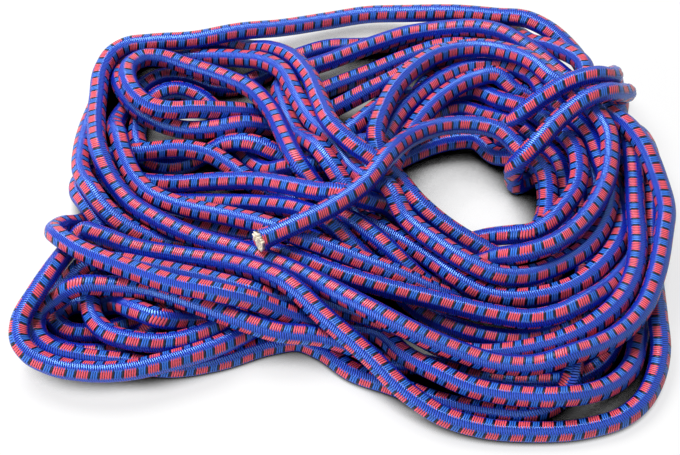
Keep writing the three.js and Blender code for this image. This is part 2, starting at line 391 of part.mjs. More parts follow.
// How strongly each step keeps to its sight line: much less where another turn hides it
function pullShares(start) {
  const count = start.length / 3;
  const picture = new Float64Array(2 * count);
  for (let i = 0; i < count; i += 1) picture.set(pictureOf(at(start, i)), 2 * i);
  const pull = new Float64Array(count).fill(pullShare);
  for (const [a, b] of nearPairs(picture, 2, viewPixels.hidden, hiddenNeighbourSteps)) {
    if (start[3 * a + 2] < start[3 * b + 2]) pull[a] = hiddenPullShare;
    if (start[3 * b + 2] < start[3 * a + 2]) pull[b] = hiddenPullShare;
  }
  for (let k = 0; k < neighbourSteps; k += 1) smoothList(pull, 1, 2 / 3);
  return pull;
}

// Lets the turns find room: those that cross part along the sight line in their own order,
// those beside each other part sideways, and nothing sinks below the ground
function settleRoute(start) {
  const count = start.length / 3;
  const spacing = ropeDiameter * turnSpacingShare;
  const pull = pullShares(start);
  const lines = [];
  for (let i = 0; i < count; i += 1) lines.push(unit(minus(at(start, i), eye)));
  const moved = new Float64Array(start.length);
  const now = Float64Array.from(start);
  let pairs = [];
  for (let round = 0; round < settleRounds; round += 1) {
    const done = round / settleRounds;
    if (round % pairRefreshRounds === 0) {
      pairs = nearPairs(now, 3, spacing + ropeDiameter * reachShare, neighbourSteps);
    }
    const push = new Float64Array(start.length);
    const hits = new Float64Array(count);
    for (const [a, b] of pairs) {
      const gap = minus(at(now, b), at(now, a));
      const distance = norm(gap);
      if (distance >= spacing) continue;
      const line = unit(plus(lines[a], lines[b]));
      const depth = dot(gap, line);
      const beside = norm(minus(gap, times(line, depth)));
      const firstGap = minus(at(start, b), at(start, a));
      const rise = firstGap[2];
      const ordered = Math.abs(rise) > ropeDiameter * orderShare;
      let side = ordered ? -Math.sign(rise) : Math.sign(dot(firstGap, line)) || 1;
      let deep = beside < deepShare * spacing && (ordered || beside < closeShare * spacing);
      if (done > 0.5 && depth * side < 0 && Math.abs(depth) > flipShare * spacing) side = -side;
      if (done > 0.72) deep = deep && distance < stuckShare * spacing;
      const wanted = Math.sqrt(Math.max(spacing * spacing - beside * beside, 0)) - depth * side;
      const part = deep
        ? times(line, side * Math.min(wanted, ropeDiameter * pushCapShare) / 2)
        : times(gap, (spacing - distance) / 2 / Math.max(distance, ropeDiameter / 1000));
      for (let c = 0; c < 3; c += 1) {
        push[3 * a + c] -= part[c];
        push[3 * b + c] += part[c];
      }
      hits[a] += 1;
      hits[b] += 1;
    }
    for (let i = 0; i < moved.length; i += 1) {
      moved[i] += push[i] / (1 + 0.55 * Math.max(hits[Math.floor(i / 3)] - 1, 0));
    }
    smoothList(moved, 3, done < 0.7 ? 0.22 : 0.1);
    const hold = done < 0.6 ? 1 : (done < 0.8 ? 0.2 : 0.03);
    for (let i = 0; i < count; i += 1) {
      let shift = at(moved, i);
      const alongLine = times(lines[i], dot(shift, lines[i]));
      shift = plus(alongLine, times(minus(shift, alongLine), 1 - pull[i] * hold));
      if (done > 0.15 && done < 0.45) shift[2] -= ropeDiameter * sagPerRoundShare;
      shift[2] = Math.max(shift[2], bedHeight - start[3 * i + 2]);
      moved.set(shift, 3 * i);
      now.set(plus(at(start, i), shift), 3 * i);
    }
  }
  return now;
}

// Keeps fewer steps: long ones on straight stretches, short ones in tight bends
function thinRoute(points, joints) {
  const count = points.length / 3;
  const kept = [0];
  const keptJoints = [];
  const fixed = [0, ...joints, count - 1];
  const step = ropeDiameter * routeStepShare;
  let due = 0;
  for (let i = 1; i < count; i += 1) {
    const a = at(points, Math.max(i - 2, 0));
    const b = at(points, i);
    const c = at(points, Math.min(i + 2, count - 1));
    const bend = norm(minus(unit(minus(c, b)), unit(minus(b, a)))) / (2 * step) || 0;
    const sag = ropeDiameter * chordSagShare;
    const wanted = bend > 0 ? Math.sqrt((8 * sag) / bend) : ropeDiameter * longestStepShare;
    const length = Math.min(Math.max(wanted, ropeDiameter * shortestStepShare),
      ropeDiameter * longestStepShare);
    due += step / length;
    const beside = fixed.some((k) => k !== i && Math.abs(k - i) * step <= straightEndLength);
    if ((due >= 1 && !beside) || fixed.includes(i)) {
      kept.push(i);
      due = 0;
      if (joints.includes(i)) keptJoints.push(kept.length - 1);
    }
  }
  const thin = new Float64Array(3 * kept.length);
  kept.forEach((i, k) => thin.set(at(points, i), 3 * k));
  return { points: thin, joints: keptJoints };
}

// Where two straight stretches come closest: the share along each, and the way between them
function closestApproach(a0, a1, b0, b1) {
  const alongA = minus(a1, a0);
  const alongB = minus(b1, b0);
  const between = minus(a0, b0);
  const aa = dot(alongA, alongA);
  const bb = dot(alongB, alongB);
  const ab = dot(alongA, alongB);
  const aw = dot(alongA, between);
  const bw = dot(alongB, between);
  const clamp = (x) => Math.min(Math.max(x, 0), 1);
  const flatness = aa * bb - ab * ab;
  let s = flatness > 1e-9 * aa * bb ? clamp((ab * bw - bb * aw) / flatness) : 0.5;
  const t = clamp((ab * s + bw) / bb);
  s = clamp((ab * t - aw) / aa);
  const way = minus(plus(b0, times(alongB, t)), plus(a0, times(alongA, s)));
  return { s, t, way, distance: Math.max(norm(way), ropeDiameter / 1000) };
}

// Pairs of mesh stretches that can touch: near in space and not next to each other on the rope
function stretchPairs(points, reach) {
  const count = points.length / 3 - 1;
  const along = new Float64Array(count + 1);
  for (let i = 0; i < count; i += 1) {
    along[i + 1] = along[i] + norm(minus(at(points, i + 1), at(points, i)));
  }
  const pairs = [];
  for (let i = 0; i < count; i += 1) {
    const midA = times(plus(at(points, i), at(points, i + 1)), 0.5);
    for (let j = i + 2; j < count; j += 1) {
      if (along[j] - along[i + 1] < 2 * ropeDiameter) continue;
      const midB = times(plus(at(points, j), at(points, j + 1)), 0.5);
      const half = (along[i + 1] - along[i] + along[j + 1] - along[j]) / 2;
      if (norm(minus(midA, midB)) < reach + half) pairs.push([i, j]);
    }
  }
  return pairs;
}

// Parts the mesh stretches themselves, which cut the corners of the settled curve
function partStretches(points, joints) {
  const spacing = ropeDiameter * meshSpacingShare;
  const count = points.length / 3;
  let pairs = [];
  for (let round = 0; round < 160; round += 1) {
    if (round % 20 === 0) pairs = stretchPairs(points, spacing + ropeDiameter / 2);
    const push = new Float64Array(points.length);
    const hits = new Float64Array(count);
    let worst = 0;
    for (const [i, j] of pairs) {
      const near = closestApproach(at(points, i), at(points, i + 1),
        at(points, j), at(points, j + 1));
      if (near.distance >= spacing) continue;
      worst = Math.max(worst, spacing - near.distance);
      const part = times(near.way, (spacing - near.distance) / near.distance / 2);
      const shares = [[i, near.s - 1], [i + 1, -near.s], [j, 1 - near.t], [j + 1, near.t]];
      for (const [k, share] of shares) {
        for (let c = 0; c < 3; c += 1) push[3 * k + c] += part[c] * share * 1.3;
        hits[k] += Math.abs(share);
      }
    }
    for (let i = 0; i < points.length; i += 1) {
      points[i] += push[i] / Math.max(hits[Math.floor(i / 3)], 1);
    }
    for (let i = 0; i < count; i += 1) {
      points[3 * i + 2] = Math.max(points[3 * i + 2], bedHeight);
    }
    for (const joint of joints) {
      points.set(times(plus(at(points, joint - 1), at(points, joint + 1)), 0.5), 3 * joint);
    }
    if (worst < ropeDiameter / 400) break;
  }
  return points;
}

// The least distance between the surfaces of any two turns of the rope
function leastGap(points) {
  let least = Infinity;
  for (const [i, j] of stretchPairs(points, 2 * ropeDiameter)) {
    const near = closestApproach(at(points, i), at(points, i + 1), at(points, j), at(points, j + 1));
    least = Math.min(least, near.distance);
  }
  return least - ropeDiameter;
}

// A solid sweep of one radius along the route's points, its ends cut square
function sweep(points, radius) {
  const rings = points.length;
  const ahead = points.map((point, i) => unit(minus(
    points[Math.min(i + 1, rings - 1)], points[Math.max(i - 1, 0)])));
  let side = unit(cross(ahead[0], [0, 0, 1]));
  const corners = [];
  points.forEach((point, i) => {
    side = unit(minus(side, times(ahead[i], dot(side, ahead[i]))));
    const other = cross(ahead[i], side);
    for (let k = 0; k < ropeSides; k += 1) {
      const turn = (2 * Math.PI * k) / ropeSides;
      const reach = plus(times(side, Math.cos(turn) * radius), times(other, Math.sin(turn) * radius));
      corners.push(...plus(point, reach));
    }
  });
  const faces = [];
  for (let i = 0; i + 1 < rings; i += 1) {
    for (let k = 0; k < ropeSides; k += 1) {
      const a = i * ropeSides + k;
      const b = i * ropeSides + ((k + 1) % ropeSides);
      faces.push(a, b, b + ropeSides, a, b + ropeSides, a + ropeSides);
    }
  }
  const lastRing = (rings - 1) * ropeSides;
  for (let k = 1; k + 1 < ropeSides; k += 1) {
    faces.push(0, k + 1, k, lastRing, lastRing + k, lastRing + k + 1);
  }
  return new wasm.Manifold(new wasm.Mesh({
    numProp: 3,
    vertProperties: new Float32Array(corners),
    triVerts: new Uint32Array(faces),
  }));
}

// A run of route points from one step to another, drawn in or stretched out at its ends
function stretch(points, from, to, trimStart, trimEnd) {
  const run = [];
  for (let i = from; i <= to; i += 1) run.push(at(points, i));
  const first = unit(minus(run[1], run[0]));
  const last = unit(minus(run[run.length - 1], run[run.length - 2]));
  run[0] = plus(run[0], times(first, trimStart));
  run[run.length - 1] = minus(run[run.length - 1], times(last, trimEnd));
  return run;
}

// The solid as one named mesh, with flat-shaded faces
function namedMesh(solid, name, material, offset) {
  const body = solid.translate(offset);
  const { vertProperties, triVerts, numProp } = body.getMesh();
  const geometry = new THREE.BufferGeometry();
  const places = new Float32Array((vertProperties.length / numProp) * 3);
  for (let i = 0; i < places.length; i += 1) {
    places[i] = vertProperties[Math.floor(i / 3) * numProp + (i % 3)];
  }
  geometry.setAttribute("position", new THREE.BufferAttribute(places, 3));
  geometry.setIndex(new THREE.BufferAttribute(new Uint32Array(triVerts), 1));
  geometry.computeVertexNormals();
  const mesh = new THREE.Mesh(geometry, material);
  mesh.name = name;
  return mesh;
}

const wasm = await Module();
wasm.setup();

// The route: even steps, settled turns, then the mesh's own steps
const route = evenRoute();
const settled = settleRoute(route.points);
const thin = thinRoute(settled, route.joints);
const steps = partStretches(thin.points, thin.joints);
const lastStep = steps.length / 3 - 1;
const [freeJoint, tieJoint] = thin.joints;
console.log(`route ${route.points.length / 3} points, mesh ${lastStep} steps`);
console.log(`least gap of the rope to itself ${leastGap(steps).toFixed(2)} mm`);

// Braided cover and rubber core of the free stretch, which ends in the cut
const boreRadius = ropeRadius - coverWall;
const coreRadius = boreRadius - coreClearance;
const freeCover = sweep(stretch(steps, 0, freeJoint, coreStandOut, 0), ropeRadius)
  .subtract(sweep(stretch(steps, 0, freeJoint, -coreStandOut, -coreStandOut), boreRadius));
const freeCore = sweep(stretch(steps, 0, freeJoint, 0, 0), coreRadius);

// The hank's turns and the two wraps that bind them, core and cover as one body
const turns = sweep(stretch(steps, freeJoint, tieJoint, jointGap, 0), ropeRadius);
const wraps = sweep(stretch(steps, tieJoint, lastStep, jointGap, 0), ropeRadius);

// The lowest turns lie flat on the ground
const wide = 2 * viewDistance;
const ground = wasm.Manifold.cube([wide, wide, ropeDiameter]).translate(
  [-wide / 2, -wide / 2, -ropeDiameter]);
const restingTurns = turns.subtract(ground);
const restingWraps = wraps.subtract(ground);

// The whole rope stands with the middle of its outline on the origin
const boxes = [freeCover, freeCore, restingTurns, restingWraps].map((s) => s.boundingBox());
const middle = [0, 1].map((c) => (
  Math.min(...boxes.map((box) => box.min[c])) + Math.max(...boxes.map((box) => box.max[c]))) / 2);
const offset = [-middle[0], -middle[1], 0];

const coverMaterial = new THREE.MeshStandardMaterial({ color: 0x1f3fc8, roughness: 0.6 });
const coreMaterial = new THREE.MeshStandardMaterial({ color: 0xece4d2, roughness: 0.7 });

const group = new THREE.Group();
group.name = "elastic_rope";
group.add(
  namedMesh(freeCover, "free_end_cover", coverMaterial, offset),
  namedMesh(freeCore, "free_end_core", coreMaterial, offset),
  namedMesh(restingTurns, "hank_turns", coverMaterial, offset),
  namedMesh(restingWraps, "tie_wraps", coverMaterial, offset),
);

export default group;
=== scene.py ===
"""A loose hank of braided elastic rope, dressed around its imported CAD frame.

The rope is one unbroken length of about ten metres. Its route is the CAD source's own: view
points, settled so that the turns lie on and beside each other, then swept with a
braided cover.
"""

import logging
import math
from dataclasses import dataclass, field
from enum import Enum

import bpy
import numpy as np
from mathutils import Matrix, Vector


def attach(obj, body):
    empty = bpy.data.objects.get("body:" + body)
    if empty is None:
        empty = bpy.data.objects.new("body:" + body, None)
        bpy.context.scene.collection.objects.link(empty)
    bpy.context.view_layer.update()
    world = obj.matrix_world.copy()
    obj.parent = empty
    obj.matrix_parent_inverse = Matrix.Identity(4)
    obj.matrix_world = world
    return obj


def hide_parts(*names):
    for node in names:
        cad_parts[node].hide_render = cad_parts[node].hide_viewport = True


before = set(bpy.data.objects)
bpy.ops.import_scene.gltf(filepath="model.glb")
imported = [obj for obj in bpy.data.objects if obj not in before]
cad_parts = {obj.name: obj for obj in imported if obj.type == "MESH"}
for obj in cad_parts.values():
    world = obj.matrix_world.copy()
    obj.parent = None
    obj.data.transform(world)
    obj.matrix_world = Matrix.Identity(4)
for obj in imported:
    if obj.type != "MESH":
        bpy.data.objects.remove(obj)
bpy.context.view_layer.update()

LOG = logging.getLogger("elastic_rope")
MM = 0.001
TINY = 1e-12
# Unit vectors to the right, to the back and up.
X, Y, Z = np.eye(3)
WHITE = (1.0, 1.0, 1.0, 1.0)
MATHS = "ShaderNodeMath"
VECTOR_MATHS = "ShaderNodeVectorMath"
MAP_RANGE = "ShaderNodeMapRange"
MIX = "ShaderNodeMix"
Socket = bpy.types.NodeSocket
Tree = bpy.types.NodeTree

# The route in the photograph's pixels, the same list as the CAD source's: for each point two
# pixel coordinates of the rope's centre and its layer, in rope thicknesses from the ground.
ROUTE_RUNS: dict[str, list[float]] = {
    "free_end": [
        259, 241, 3.6,  275, 236, 3.7,  292, 227, 3.8,  309, 218, 3.9,  326, 210, 4,  342, 202, 4,
        355, 193, 4,  366, 182, 4,  376, 171, 4,  388, 157, 3.9,  400, 146, 3.8,  412, 136, 3.7,
        425, 131, 3.6,  438, 127, 3.5,  453, 124.5, 3.4,  468, 124, 3.4,  485, 125.5, 3.4,
        500, 130, 3.3,  513, 137, 3.1,  525, 147, 2.8,
    ],
    "turn_01": [
        536, 158, 2.5,  544, 171, 2.2,  548, 186, 1.9,  549, 200, 1.6,  547, 216, 1.3,
        541, 234, 0.9,  529, 248, 0.9,  514, 255, 0.9,  502, 254, 1,  489, 250, 1.3,
        470, 242.5, 1.7,  452, 231, 2,  435, 219, 2.4,  419, 207, 2.8,  405, 196, 2.7,
        393, 184, 2.6,  380, 173, 2.5,  365, 164, 2.4,  351, 157, 2.5,  340, 147, 2.8,
        331, 134, 3,  324, 120, 3.1,  318, 105, 3.1,  314, 91, 3.1,  308, 78, 3.1,  301, 67, 3,
        291, 58, 2.7,  279, 52, 2.3,  265, 48, 1.8,  248, 45, 1.3,  230, 43, 1,  210, 44, 0.9,
        190, 45, 0.9,  170, 46, 0.9,  150, 47, 0.9,  134, 50, 0.9,  121, 57, 0.9,  112, 68, 0.9,
        106, 82, 0.9,  102, 97, 0.9,  96, 112, 0.9,  90, 124, 0.9,  85, 137, 0.9,  82, 152, 1.1,
        82, 167, 1.3,  82, 181, 1.6,  90, 195, 1.8,  102, 208, 1.9,  116, 220, 1.9,  132, 229, 1.8,
        150, 236, 1.6,  170, 242, 1.3,  195, 246, 1.1,  220, 249, 1.1,  245, 251, 1.2,
        270, 254, 1.5,  296, 258, 1.9,  317, 265, 2.1,  337, 272, 2.1,  357, 278, 2.1,
        377, 284, 2.1,  399, 290, 2.1,  421, 296, 2.1,  442, 302, 2.1,  465, 308, 2,
        488, 313, 1.9,  510, 318, 1.8,  531, 320, 1.7,  552, 319, 1.5,  571, 315, 1.3,
        588, 307, 1.1,  603, 294, 0.9,  616, 277, 0.7,  626, 256, 0.6,  630, 232, 0.6,
        630, 208, 0.6,  626, 185, 0.8,  618, 160, 1.1,  605, 135, 1.4,
    ],
    "turn_02": [
        588, 114, 1.5,  570, 98, 1.5,  552, 86, 1.5,  533, 75, 1.3,  512, 67, 1.1,  490, 62, 1,
        465, 61, 1,  440, 66, 1,  420, 75, 1,  402, 85, 1,  386, 93, 1.1,  370, 99, 1.2,
        354, 104, 1.2,  338, 109, 1.1,  322, 114, 1,  304, 119, 0.9,  287, 123, 0.9,  270, 126, 1,
        255, 127, 1.2,  240, 127, 1.3,  222, 127.5, 1.4,  203, 128, 1.5,  184, 127, 1.5,
        166, 124, 1.6,  150, 118, 1.6,  137, 109, 1.6,  127, 98, 1.5,  120, 86, 1.3,  118, 74, 1,
        124, 63, 0.8,  137, 57, 0.7,  155, 56, 0.7,  175, 56, 0.8,  197, 57, 1,  220, 58, 1.3,
        240, 58.5, 1.6,  260, 61, 1.9,  275, 66, 2.1,  285, 75, 2.2,  291, 88, 2.2,  297, 103, 2.2,
        304, 118, 2.2,  313, 131, 2.2,  325, 145, 2.2,  338, 158, 2.1,  350, 169, 2,
        362, 181, 1.9,  374, 192, 1.9,  388, 203, 2,  402, 215, 2,  417, 227, 2,  432, 239, 2,
        449, 250, 2,  466, 260, 1.9,  487, 267, 1.8,  510, 271, 1.7,  530, 270.5, 1.7,
        550, 267, 1.7,  570, 259, 1.7,  588, 248, 1.7,  600, 235, 1.6,  607, 220, 1.5,
        610, 205, 1.4,  609, 188, 1.3,  603, 170, 1.4,  598, 155, 1.7,  592, 140, 2,
        584, 126, 2.1,  573, 113, 2.2,
    ],
    "turn_03": [
        560, 102, 2.3,  546, 93, 2.2,  530, 82, 2,  513, 73, 1.8,  497, 67, 1.9,  480, 66, 2.1,
        464, 69, 2.3,  447, 76, 2.4,  432, 85, 2.4,  418, 96, 2.4,  405, 111, 2.4,  394, 125, 2.3,
        384, 139, 2.1,  376, 153, 1.7,  368, 170, 1.2,  358, 188, 0.8,  346, 207, 0.6,
        332, 226, 0.5,  316, 245, 0.5,  298, 263, 0.5,  279, 280, 0.5,  260, 297, 0.5,
        241, 311, 0.6,  222, 322, 0.7,  202, 331, 0.7,  180, 338, 0.7,  157, 341.5, 0.7,
        134, 342, 0.7,  115, 338, 0.7,  100, 330, 0.7,  91, 319, 0.7,  87, 306, 1.1,  88, 290, 1,
        93, 272, 0.6,  100, 254, 0.6,  103, 237, 0.7,  98, 222, 0.8,  88, 211, 0.9,  80, 200, 1,
        79, 188, 1,  83, 177, 0.9,  95, 170, 0.7,  110, 169, 0.6,  127, 174, 0.7,  147, 181, 0.9,
        167, 184, 1.2,  186, 183, 1.5,  206, 182, 1.7,  226, 181, 1.9,  246, 180.5, 2.1,
        267, 182, 2.4,  287, 186, 2.6,  306, 191, 2.8,  324, 198, 2.6,  345, 204, 1.9,
        366, 208, 1.3,  388, 214, 1,  408, 228, 0.7,  430, 237, 0.6,  452, 245, 0.6,
        476, 249, 0.9,  500, 246, 1.7,  521, 240, 2.3,  541, 231.5, 2.6,  557, 214, 2.7,
        568, 203, 2.7,  577, 189, 2.7,  580, 174, 2.6,  580, 158, 2.6,  577, 142, 2.5,
        571, 127, 2.3,
    ],
    "turn_04": [
        560, 120, 1.9,  545, 117, 1.6,  530, 115, 1.4,  518, 110, 1.4,  507, 102, 1.4,
        492, 96, 1.3,  477, 93, 1.1,  460, 92, 0.8,  438, 93, 0.7,  415, 97, 0.7,  395, 103, 0.8,
        378, 111, 1,  366, 121, 1.2,  353, 133, 1.2,  340, 146, 1,  325, 158, 0.8,  309, 166, 0.8,
        293, 165, 1.1,  279, 158, 1.5,  263, 149.5, 1.8,  246, 144.5, 1.9,  228, 144, 1.7,
        212, 150, 0.9,  195, 164, 0.5,  176, 169, 0.4,  158, 169, 0.4,  143, 160, 0.4,
        137, 141, 0.5,  138, 127, 0.5,  143, 114, 0.6,  149, 103, 0.9,  157, 94.5, 1.1,
        168, 90, 1.2,  182, 90, 1.2,  195, 94, 1.1,  206, 101.5, 0.9,  216, 112, 0.7,
        226, 125, 0.5,  235, 140, 0.5,  245, 155, 0.5,  256, 165, 0.7,  270, 171, 0.9,
        287, 178, 0.9,  304, 185, 0.7,  322, 189, 0.6,  341, 187, 0.6,  360, 178, 0.7,
        378, 166, 0.8,  395, 152, 0.9,  412, 138, 1.1,  430, 123, 1.3,  447, 112, 1.4,
        465, 108, 1.5,  484, 112, 1.6,  500, 119, 1.6,  515, 129, 1.5,  530, 140, 1.4,
        543, 147, 1.4,
    ],
    "turn_05": [
        553, 152, 1.5,  560, 163, 1.5,  564, 178, 1.4,  566, 195, 1.3,  567, 213, 1,
        564, 234, 0.8,  555, 254, 0.7,  556, 275, 0.6,  528, 287, 0.7,  494, 291, 0.8,
        470, 293, 1,  447, 290, 1.4,  425, 284, 1.8,  404, 277.5, 2.1,  385, 271, 2.2,
        365, 264, 2.2,  346, 256, 2.2,  327, 250, 2.1,  307, 243, 1.9,  288, 236, 1.7,
        268, 228, 1.7,  245, 220, 1.9,  225, 216, 2.1,  205, 212, 2.2,  180, 206, 2.4,
        155, 198, 2.5,  141, 188, 2.5,  131, 176, 2.4,  123, 162, 2.2,  117, 147, 1.9,
        114.5, 132, 1.6,  116, 118, 1.2,  124, 106, 0.9,  135, 97, 0.6,  150, 82, 0.5,
        170, 76, 0.5,  192, 79, 0.5,  214, 88, 0.5,  236, 89, 0.6,  256, 78, 0.7,  272, 69, 0.9,
        287, 60, 1.1,  302, 54, 1.2,  318, 49.5, 1.3,  336, 46.5, 1.3,  352, 46, 1.2,  368, 47, 1,
        390, 46, 0.9,  412, 40, 0.8,  435, 33, 0.8,  460, 26, 0.9,  485, 23, 1.1,  508, 26, 1.5,
        524, 34, 2.1,  536, 41, 2.6,  549, 48, 2.8,  562, 56, 2.8,  574, 66, 2.8,  584, 80, 2.6,
    ],
    "turn_06": [
        591, 94, 2.5,  599, 106, 2.5,  611, 117.5, 2.6,  626, 131, 2.6,  639, 146, 2.7,
        648, 160, 2.7,  656, 177, 2.6,  663, 194, 2.6,  666.5, 212, 2.6,  664, 232, 2.7,
        659, 250, 2.7,  656, 270, 2.7,  652, 288, 2.7,  645, 305, 2.7,  634, 321, 2.7,
        619, 335, 2.7,  600, 346, 2.7,  575, 357.5, 2.7,  549, 364.5, 2.7,  522, 366.5, 2.7,
        497, 364, 2.7,  474, 358.5, 2.7,  452, 348, 2.7,  430, 340, 2.7,  408, 330, 2.7,
        386, 319.5, 2.7,  366, 309, 2.7,  346, 298, 2.7,  325, 287.5, 2.6,  306, 278, 2.6,
        286, 268, 2.5,  263, 258, 2.4,  240, 250, 2.4,  210, 242.5, 2.4,  190, 236, 2.4,
        172, 229.5, 2.4,  155, 221, 2.4,  140, 211, 2.4,  127, 199, 2.4,  116, 186, 2.4,
        108, 172, 2.4,  103, 158, 2.4,  100, 144, 2.4,  98, 130, 2.3,  98, 115, 2.3,
        98.5, 100, 2.2,  100, 86, 2.1,  103, 73, 2,  109, 60, 1.9,  119, 50, 1.9,  134, 44.5, 1.9,
        152, 43, 2,  170, 43, 2,  188, 41.5, 2,  206, 39, 2,  224, 36.5, 2,  243, 34.5, 1.9,
        262, 32, 1.8,  281, 29.5, 1.8,  300, 26.5, 1.8,  320, 22.5, 1.8,  340, 18.5, 1.8,
        360, 15.5, 1.8,  380, 13.5, 1.8,  400, 14, 1.8,  425, 14, 1.8,  450, 14, 1.9,
        475, 15.5, 2,  497, 18.5, 2.2,  518, 23, 2.4,  538, 30, 2.6,  555, 39.5, 2.6,
        569, 51.5, 2.5,  580, 66, 2.3,  588, 80, 2,
    ],
    "turn_07": [
        590, 97, 1.7,  597, 112, 1.3,  606, 129, 1,  617, 147, 0.9,  626, 165, 0.8,  633, 183, 0.8,
        640, 203, 0.8,  645, 223, 0.9,  649, 243, 1.1,  651, 265, 1.3,  652.5, 287, 1.2,
        654, 308, 1,  657, 330, 0.8,  660, 350, 0.6,  657, 370, 0.6,  651, 389, 0.6,
        639, 406, 0.6,  621, 419, 0.6,  599, 426, 0.6,  575, 430, 0.6,  550, 431.5, 0.6,
        525, 431.5, 0.6,  500, 430, 0.6,  477, 427, 0.7,  455, 421, 0.8,  434, 412, 1,
        415, 399, 1.2,  397, 383, 1.4,  380, 366, 1.6,  363, 350, 1.8,  346, 335, 2,
        328, 321, 2.1,  310, 308, 2.1,  290, 295, 2.1,  270, 283, 2.1,  250, 272.5, 2.1,
        230, 264.5, 2.1,  207, 259, 2.1,  180, 255.5, 2.1,  155, 252.5, 2.1,  134, 248.5, 2.1,
        115, 242, 2.1,  98, 235, 1.9,  84, 229.5, 1.5,  73, 233, 1,  67, 246, 0.9,  68, 255, 1.2,
        61, 267, 1.5,  53, 279, 1.7,  43, 291, 1.7,  34, 302, 1.7,  25, 314, 1.6,  18.5, 329, 1.5,
        18.5, 341, 1.5,  26, 352, 1.4,  40, 361, 1.5,  57, 367, 1.5,  77, 371, 1.6,  98, 372, 1.6,
        119, 371.5, 1.6,  140, 368.5, 1.6,  160, 363.5, 1.5,  180, 357, 1.4,  200, 349.5, 1.3,
        220, 341.5, 1.2,  240, 333.5, 1,  260, 323, 0.8,  280, 308, 0.6,  298, 290, 0.5,
        315, 270, 0.5,  331, 250, 0.5,  345, 229, 0.5,  356, 208, 0.6,  362, 187, 0.9,
        366, 168, 1.4,  370, 150, 2,  375, 133, 2.3,  380, 116, 2.5,  388, 99, 2.6,  398, 84, 2.6,
        411, 71, 2.6,  426, 60, 2.5,  443, 52.5, 2.4,  462, 49, 2.3,  481, 48, 2.3,  500, 51, 2.3,
        516, 58, 2.4,  531, 69, 2.4,  543, 83, 2.4,  557, 95, 2.3,  575, 102, 2.3,
    ],
    "turn_08": [
        592, 109, 2.5,  604, 119, 2.7,  610, 134, 2.7,  611, 150, 2.7,  610, 165, 2.7,
        607, 179, 2.7,  602, 193, 2.7,  594, 207, 2.7,  584, 220, 2.6,  572, 232, 2.6,
        557, 243, 2.6,  540, 251.5, 2.5,  521, 259, 2.3,  502, 263, 1.9,  484, 265, 1.3,
        464, 262, 0.8,  441, 256, 0.6,  416, 248, 0.5,  391, 242, 0.6,  365, 236, 0.7,
        340, 238, 0.7,  316, 241, 0.7,  290, 243, 0.8,  265, 241, 0.9,  241, 236, 1,
        219, 231.5, 1,  195, 227, 0.9,  170, 222, 0.8,  145, 216, 0.7,  122, 211, 0.5,
        104, 210, 0.5,  90, 216, 0.7,  77, 220.5, 1,  66, 226.5, 1.2,  57.5, 234, 1.4,
        56, 242, 1.6,  62, 247.5, 1.8,  78, 253.5, 2,  104, 262, 2.1,  124, 270, 2.1,
        147, 278, 2.1,  170, 286, 2.1,  192, 292, 2.1,  215, 297, 2.1,  236, 301, 2,
        257, 305, 1.9,  279, 310.5, 1.6,  300, 316, 1.2,  325, 322, 0.9,  350, 328, 0.8,
        375, 336, 0.9,  400, 347, 1.1,  422, 361, 1.2,  443, 374.5, 1.2,  462, 384, 1.2,
        487, 391.5, 1.2,  515, 396, 1.2,  540, 397.5, 1.2,  562, 397, 1.2,  584, 394, 1.2,
        603, 389.5, 1.2,  619, 381, 1.2,  631, 368, 1.1,  637, 352, 1,  639, 335, 0.8,
        640, 315, 0.6,  641, 292, 0.5,  641, 268, 0.5,  638, 243, 0.5,  631, 218, 0.5,
        622, 193, 0.5,  614, 168, 0.6,  606, 146, 0.8,  598, 124, 1.1,
    ],
    "turn_09": [
        586, 103, 1.4,  567, 86, 1.4,  547, 70, 1.3,  526, 57, 1.2,  504, 48, 1.2,  480, 44, 1.3,
        460, 43, 1.5,  443, 45, 1.7,  426, 50, 1.8,  408, 57, 1.8,  390, 64.5, 1.7,  372, 72, 1.7,
        354, 79, 1.6,  338, 85, 1.5,  322, 91, 1.2,  304, 99, 1,  284, 107, 1,  265, 111, 1.3,
        246, 112, 1.6,  226, 112, 1.9,  205, 112.5, 2,  185, 113, 2.1,  168, 112.5, 2.1,
        152, 109.5, 2.1,  140, 102, 2.1,  131, 92.5, 2.1,  126, 82, 2,  127, 71, 1.9,
        133, 62, 1.9,  143, 57, 1.9,  156, 57, 1.9,  170, 60, 2,  184, 64.5, 2,  199, 69.5, 2.1,
        213, 74, 2.2,  226, 78, 2.3,  240, 83, 2.4,  252, 89, 2.5,  262, 97, 2.6,  270, 108, 2.6,
        278, 121, 2.6,  286, 135, 2.6,  295, 150, 2.5,  304, 165, 2.2,  313, 179, 1.8,
        322, 192, 1.5,  333, 206, 1.7,  346, 219.5, 2,  363, 231, 2.2,  381, 242.5, 2.2,
        397, 254, 2.1,  413, 267, 1.8,  431, 277, 1.3,  455, 280, 0.9,  480, 277, 0.7,
        503, 270, 0.4,  522, 257, 0.3,  538, 238, 0.3,  548, 219, 0.4,  549, 202, 0.6,
        545, 186, 0.6,
    ],
    "turn_10": [
        531, 173, 0.8,  518, 163, 1,  510, 154, 1.1,  503, 146, 1.2,  490, 138, 1.3,
        475, 136, 1.4,  458, 138, 1.4,  440, 143.5, 1.4,  421, 149, 1.3,  402, 155, 1.1,
        382, 167, 0.8,  360, 182, 0.6,  337, 196, 0.5,  312, 203, 0.5,  288, 201, 0.5,
        266, 193, 0.7,  249, 182, 1,  236, 170.5, 1.2,  224, 161, 1.3,  210, 153.5, 1.4,
        193, 150.5, 1.4,  175, 150.5, 1.4,  157, 153, 1.3,  140, 156.5, 1.2,  124, 160.5, 0.9,
        109, 167, 0.6,  104, 179, 0.5,  112, 192, 0.5,  130, 200, 0.6,  150, 203, 0.7,
        170, 204, 0.9,  190, 204, 1.1,  210, 203.5, 1.3,  229, 203.5, 1.5,  248, 204, 1.7,
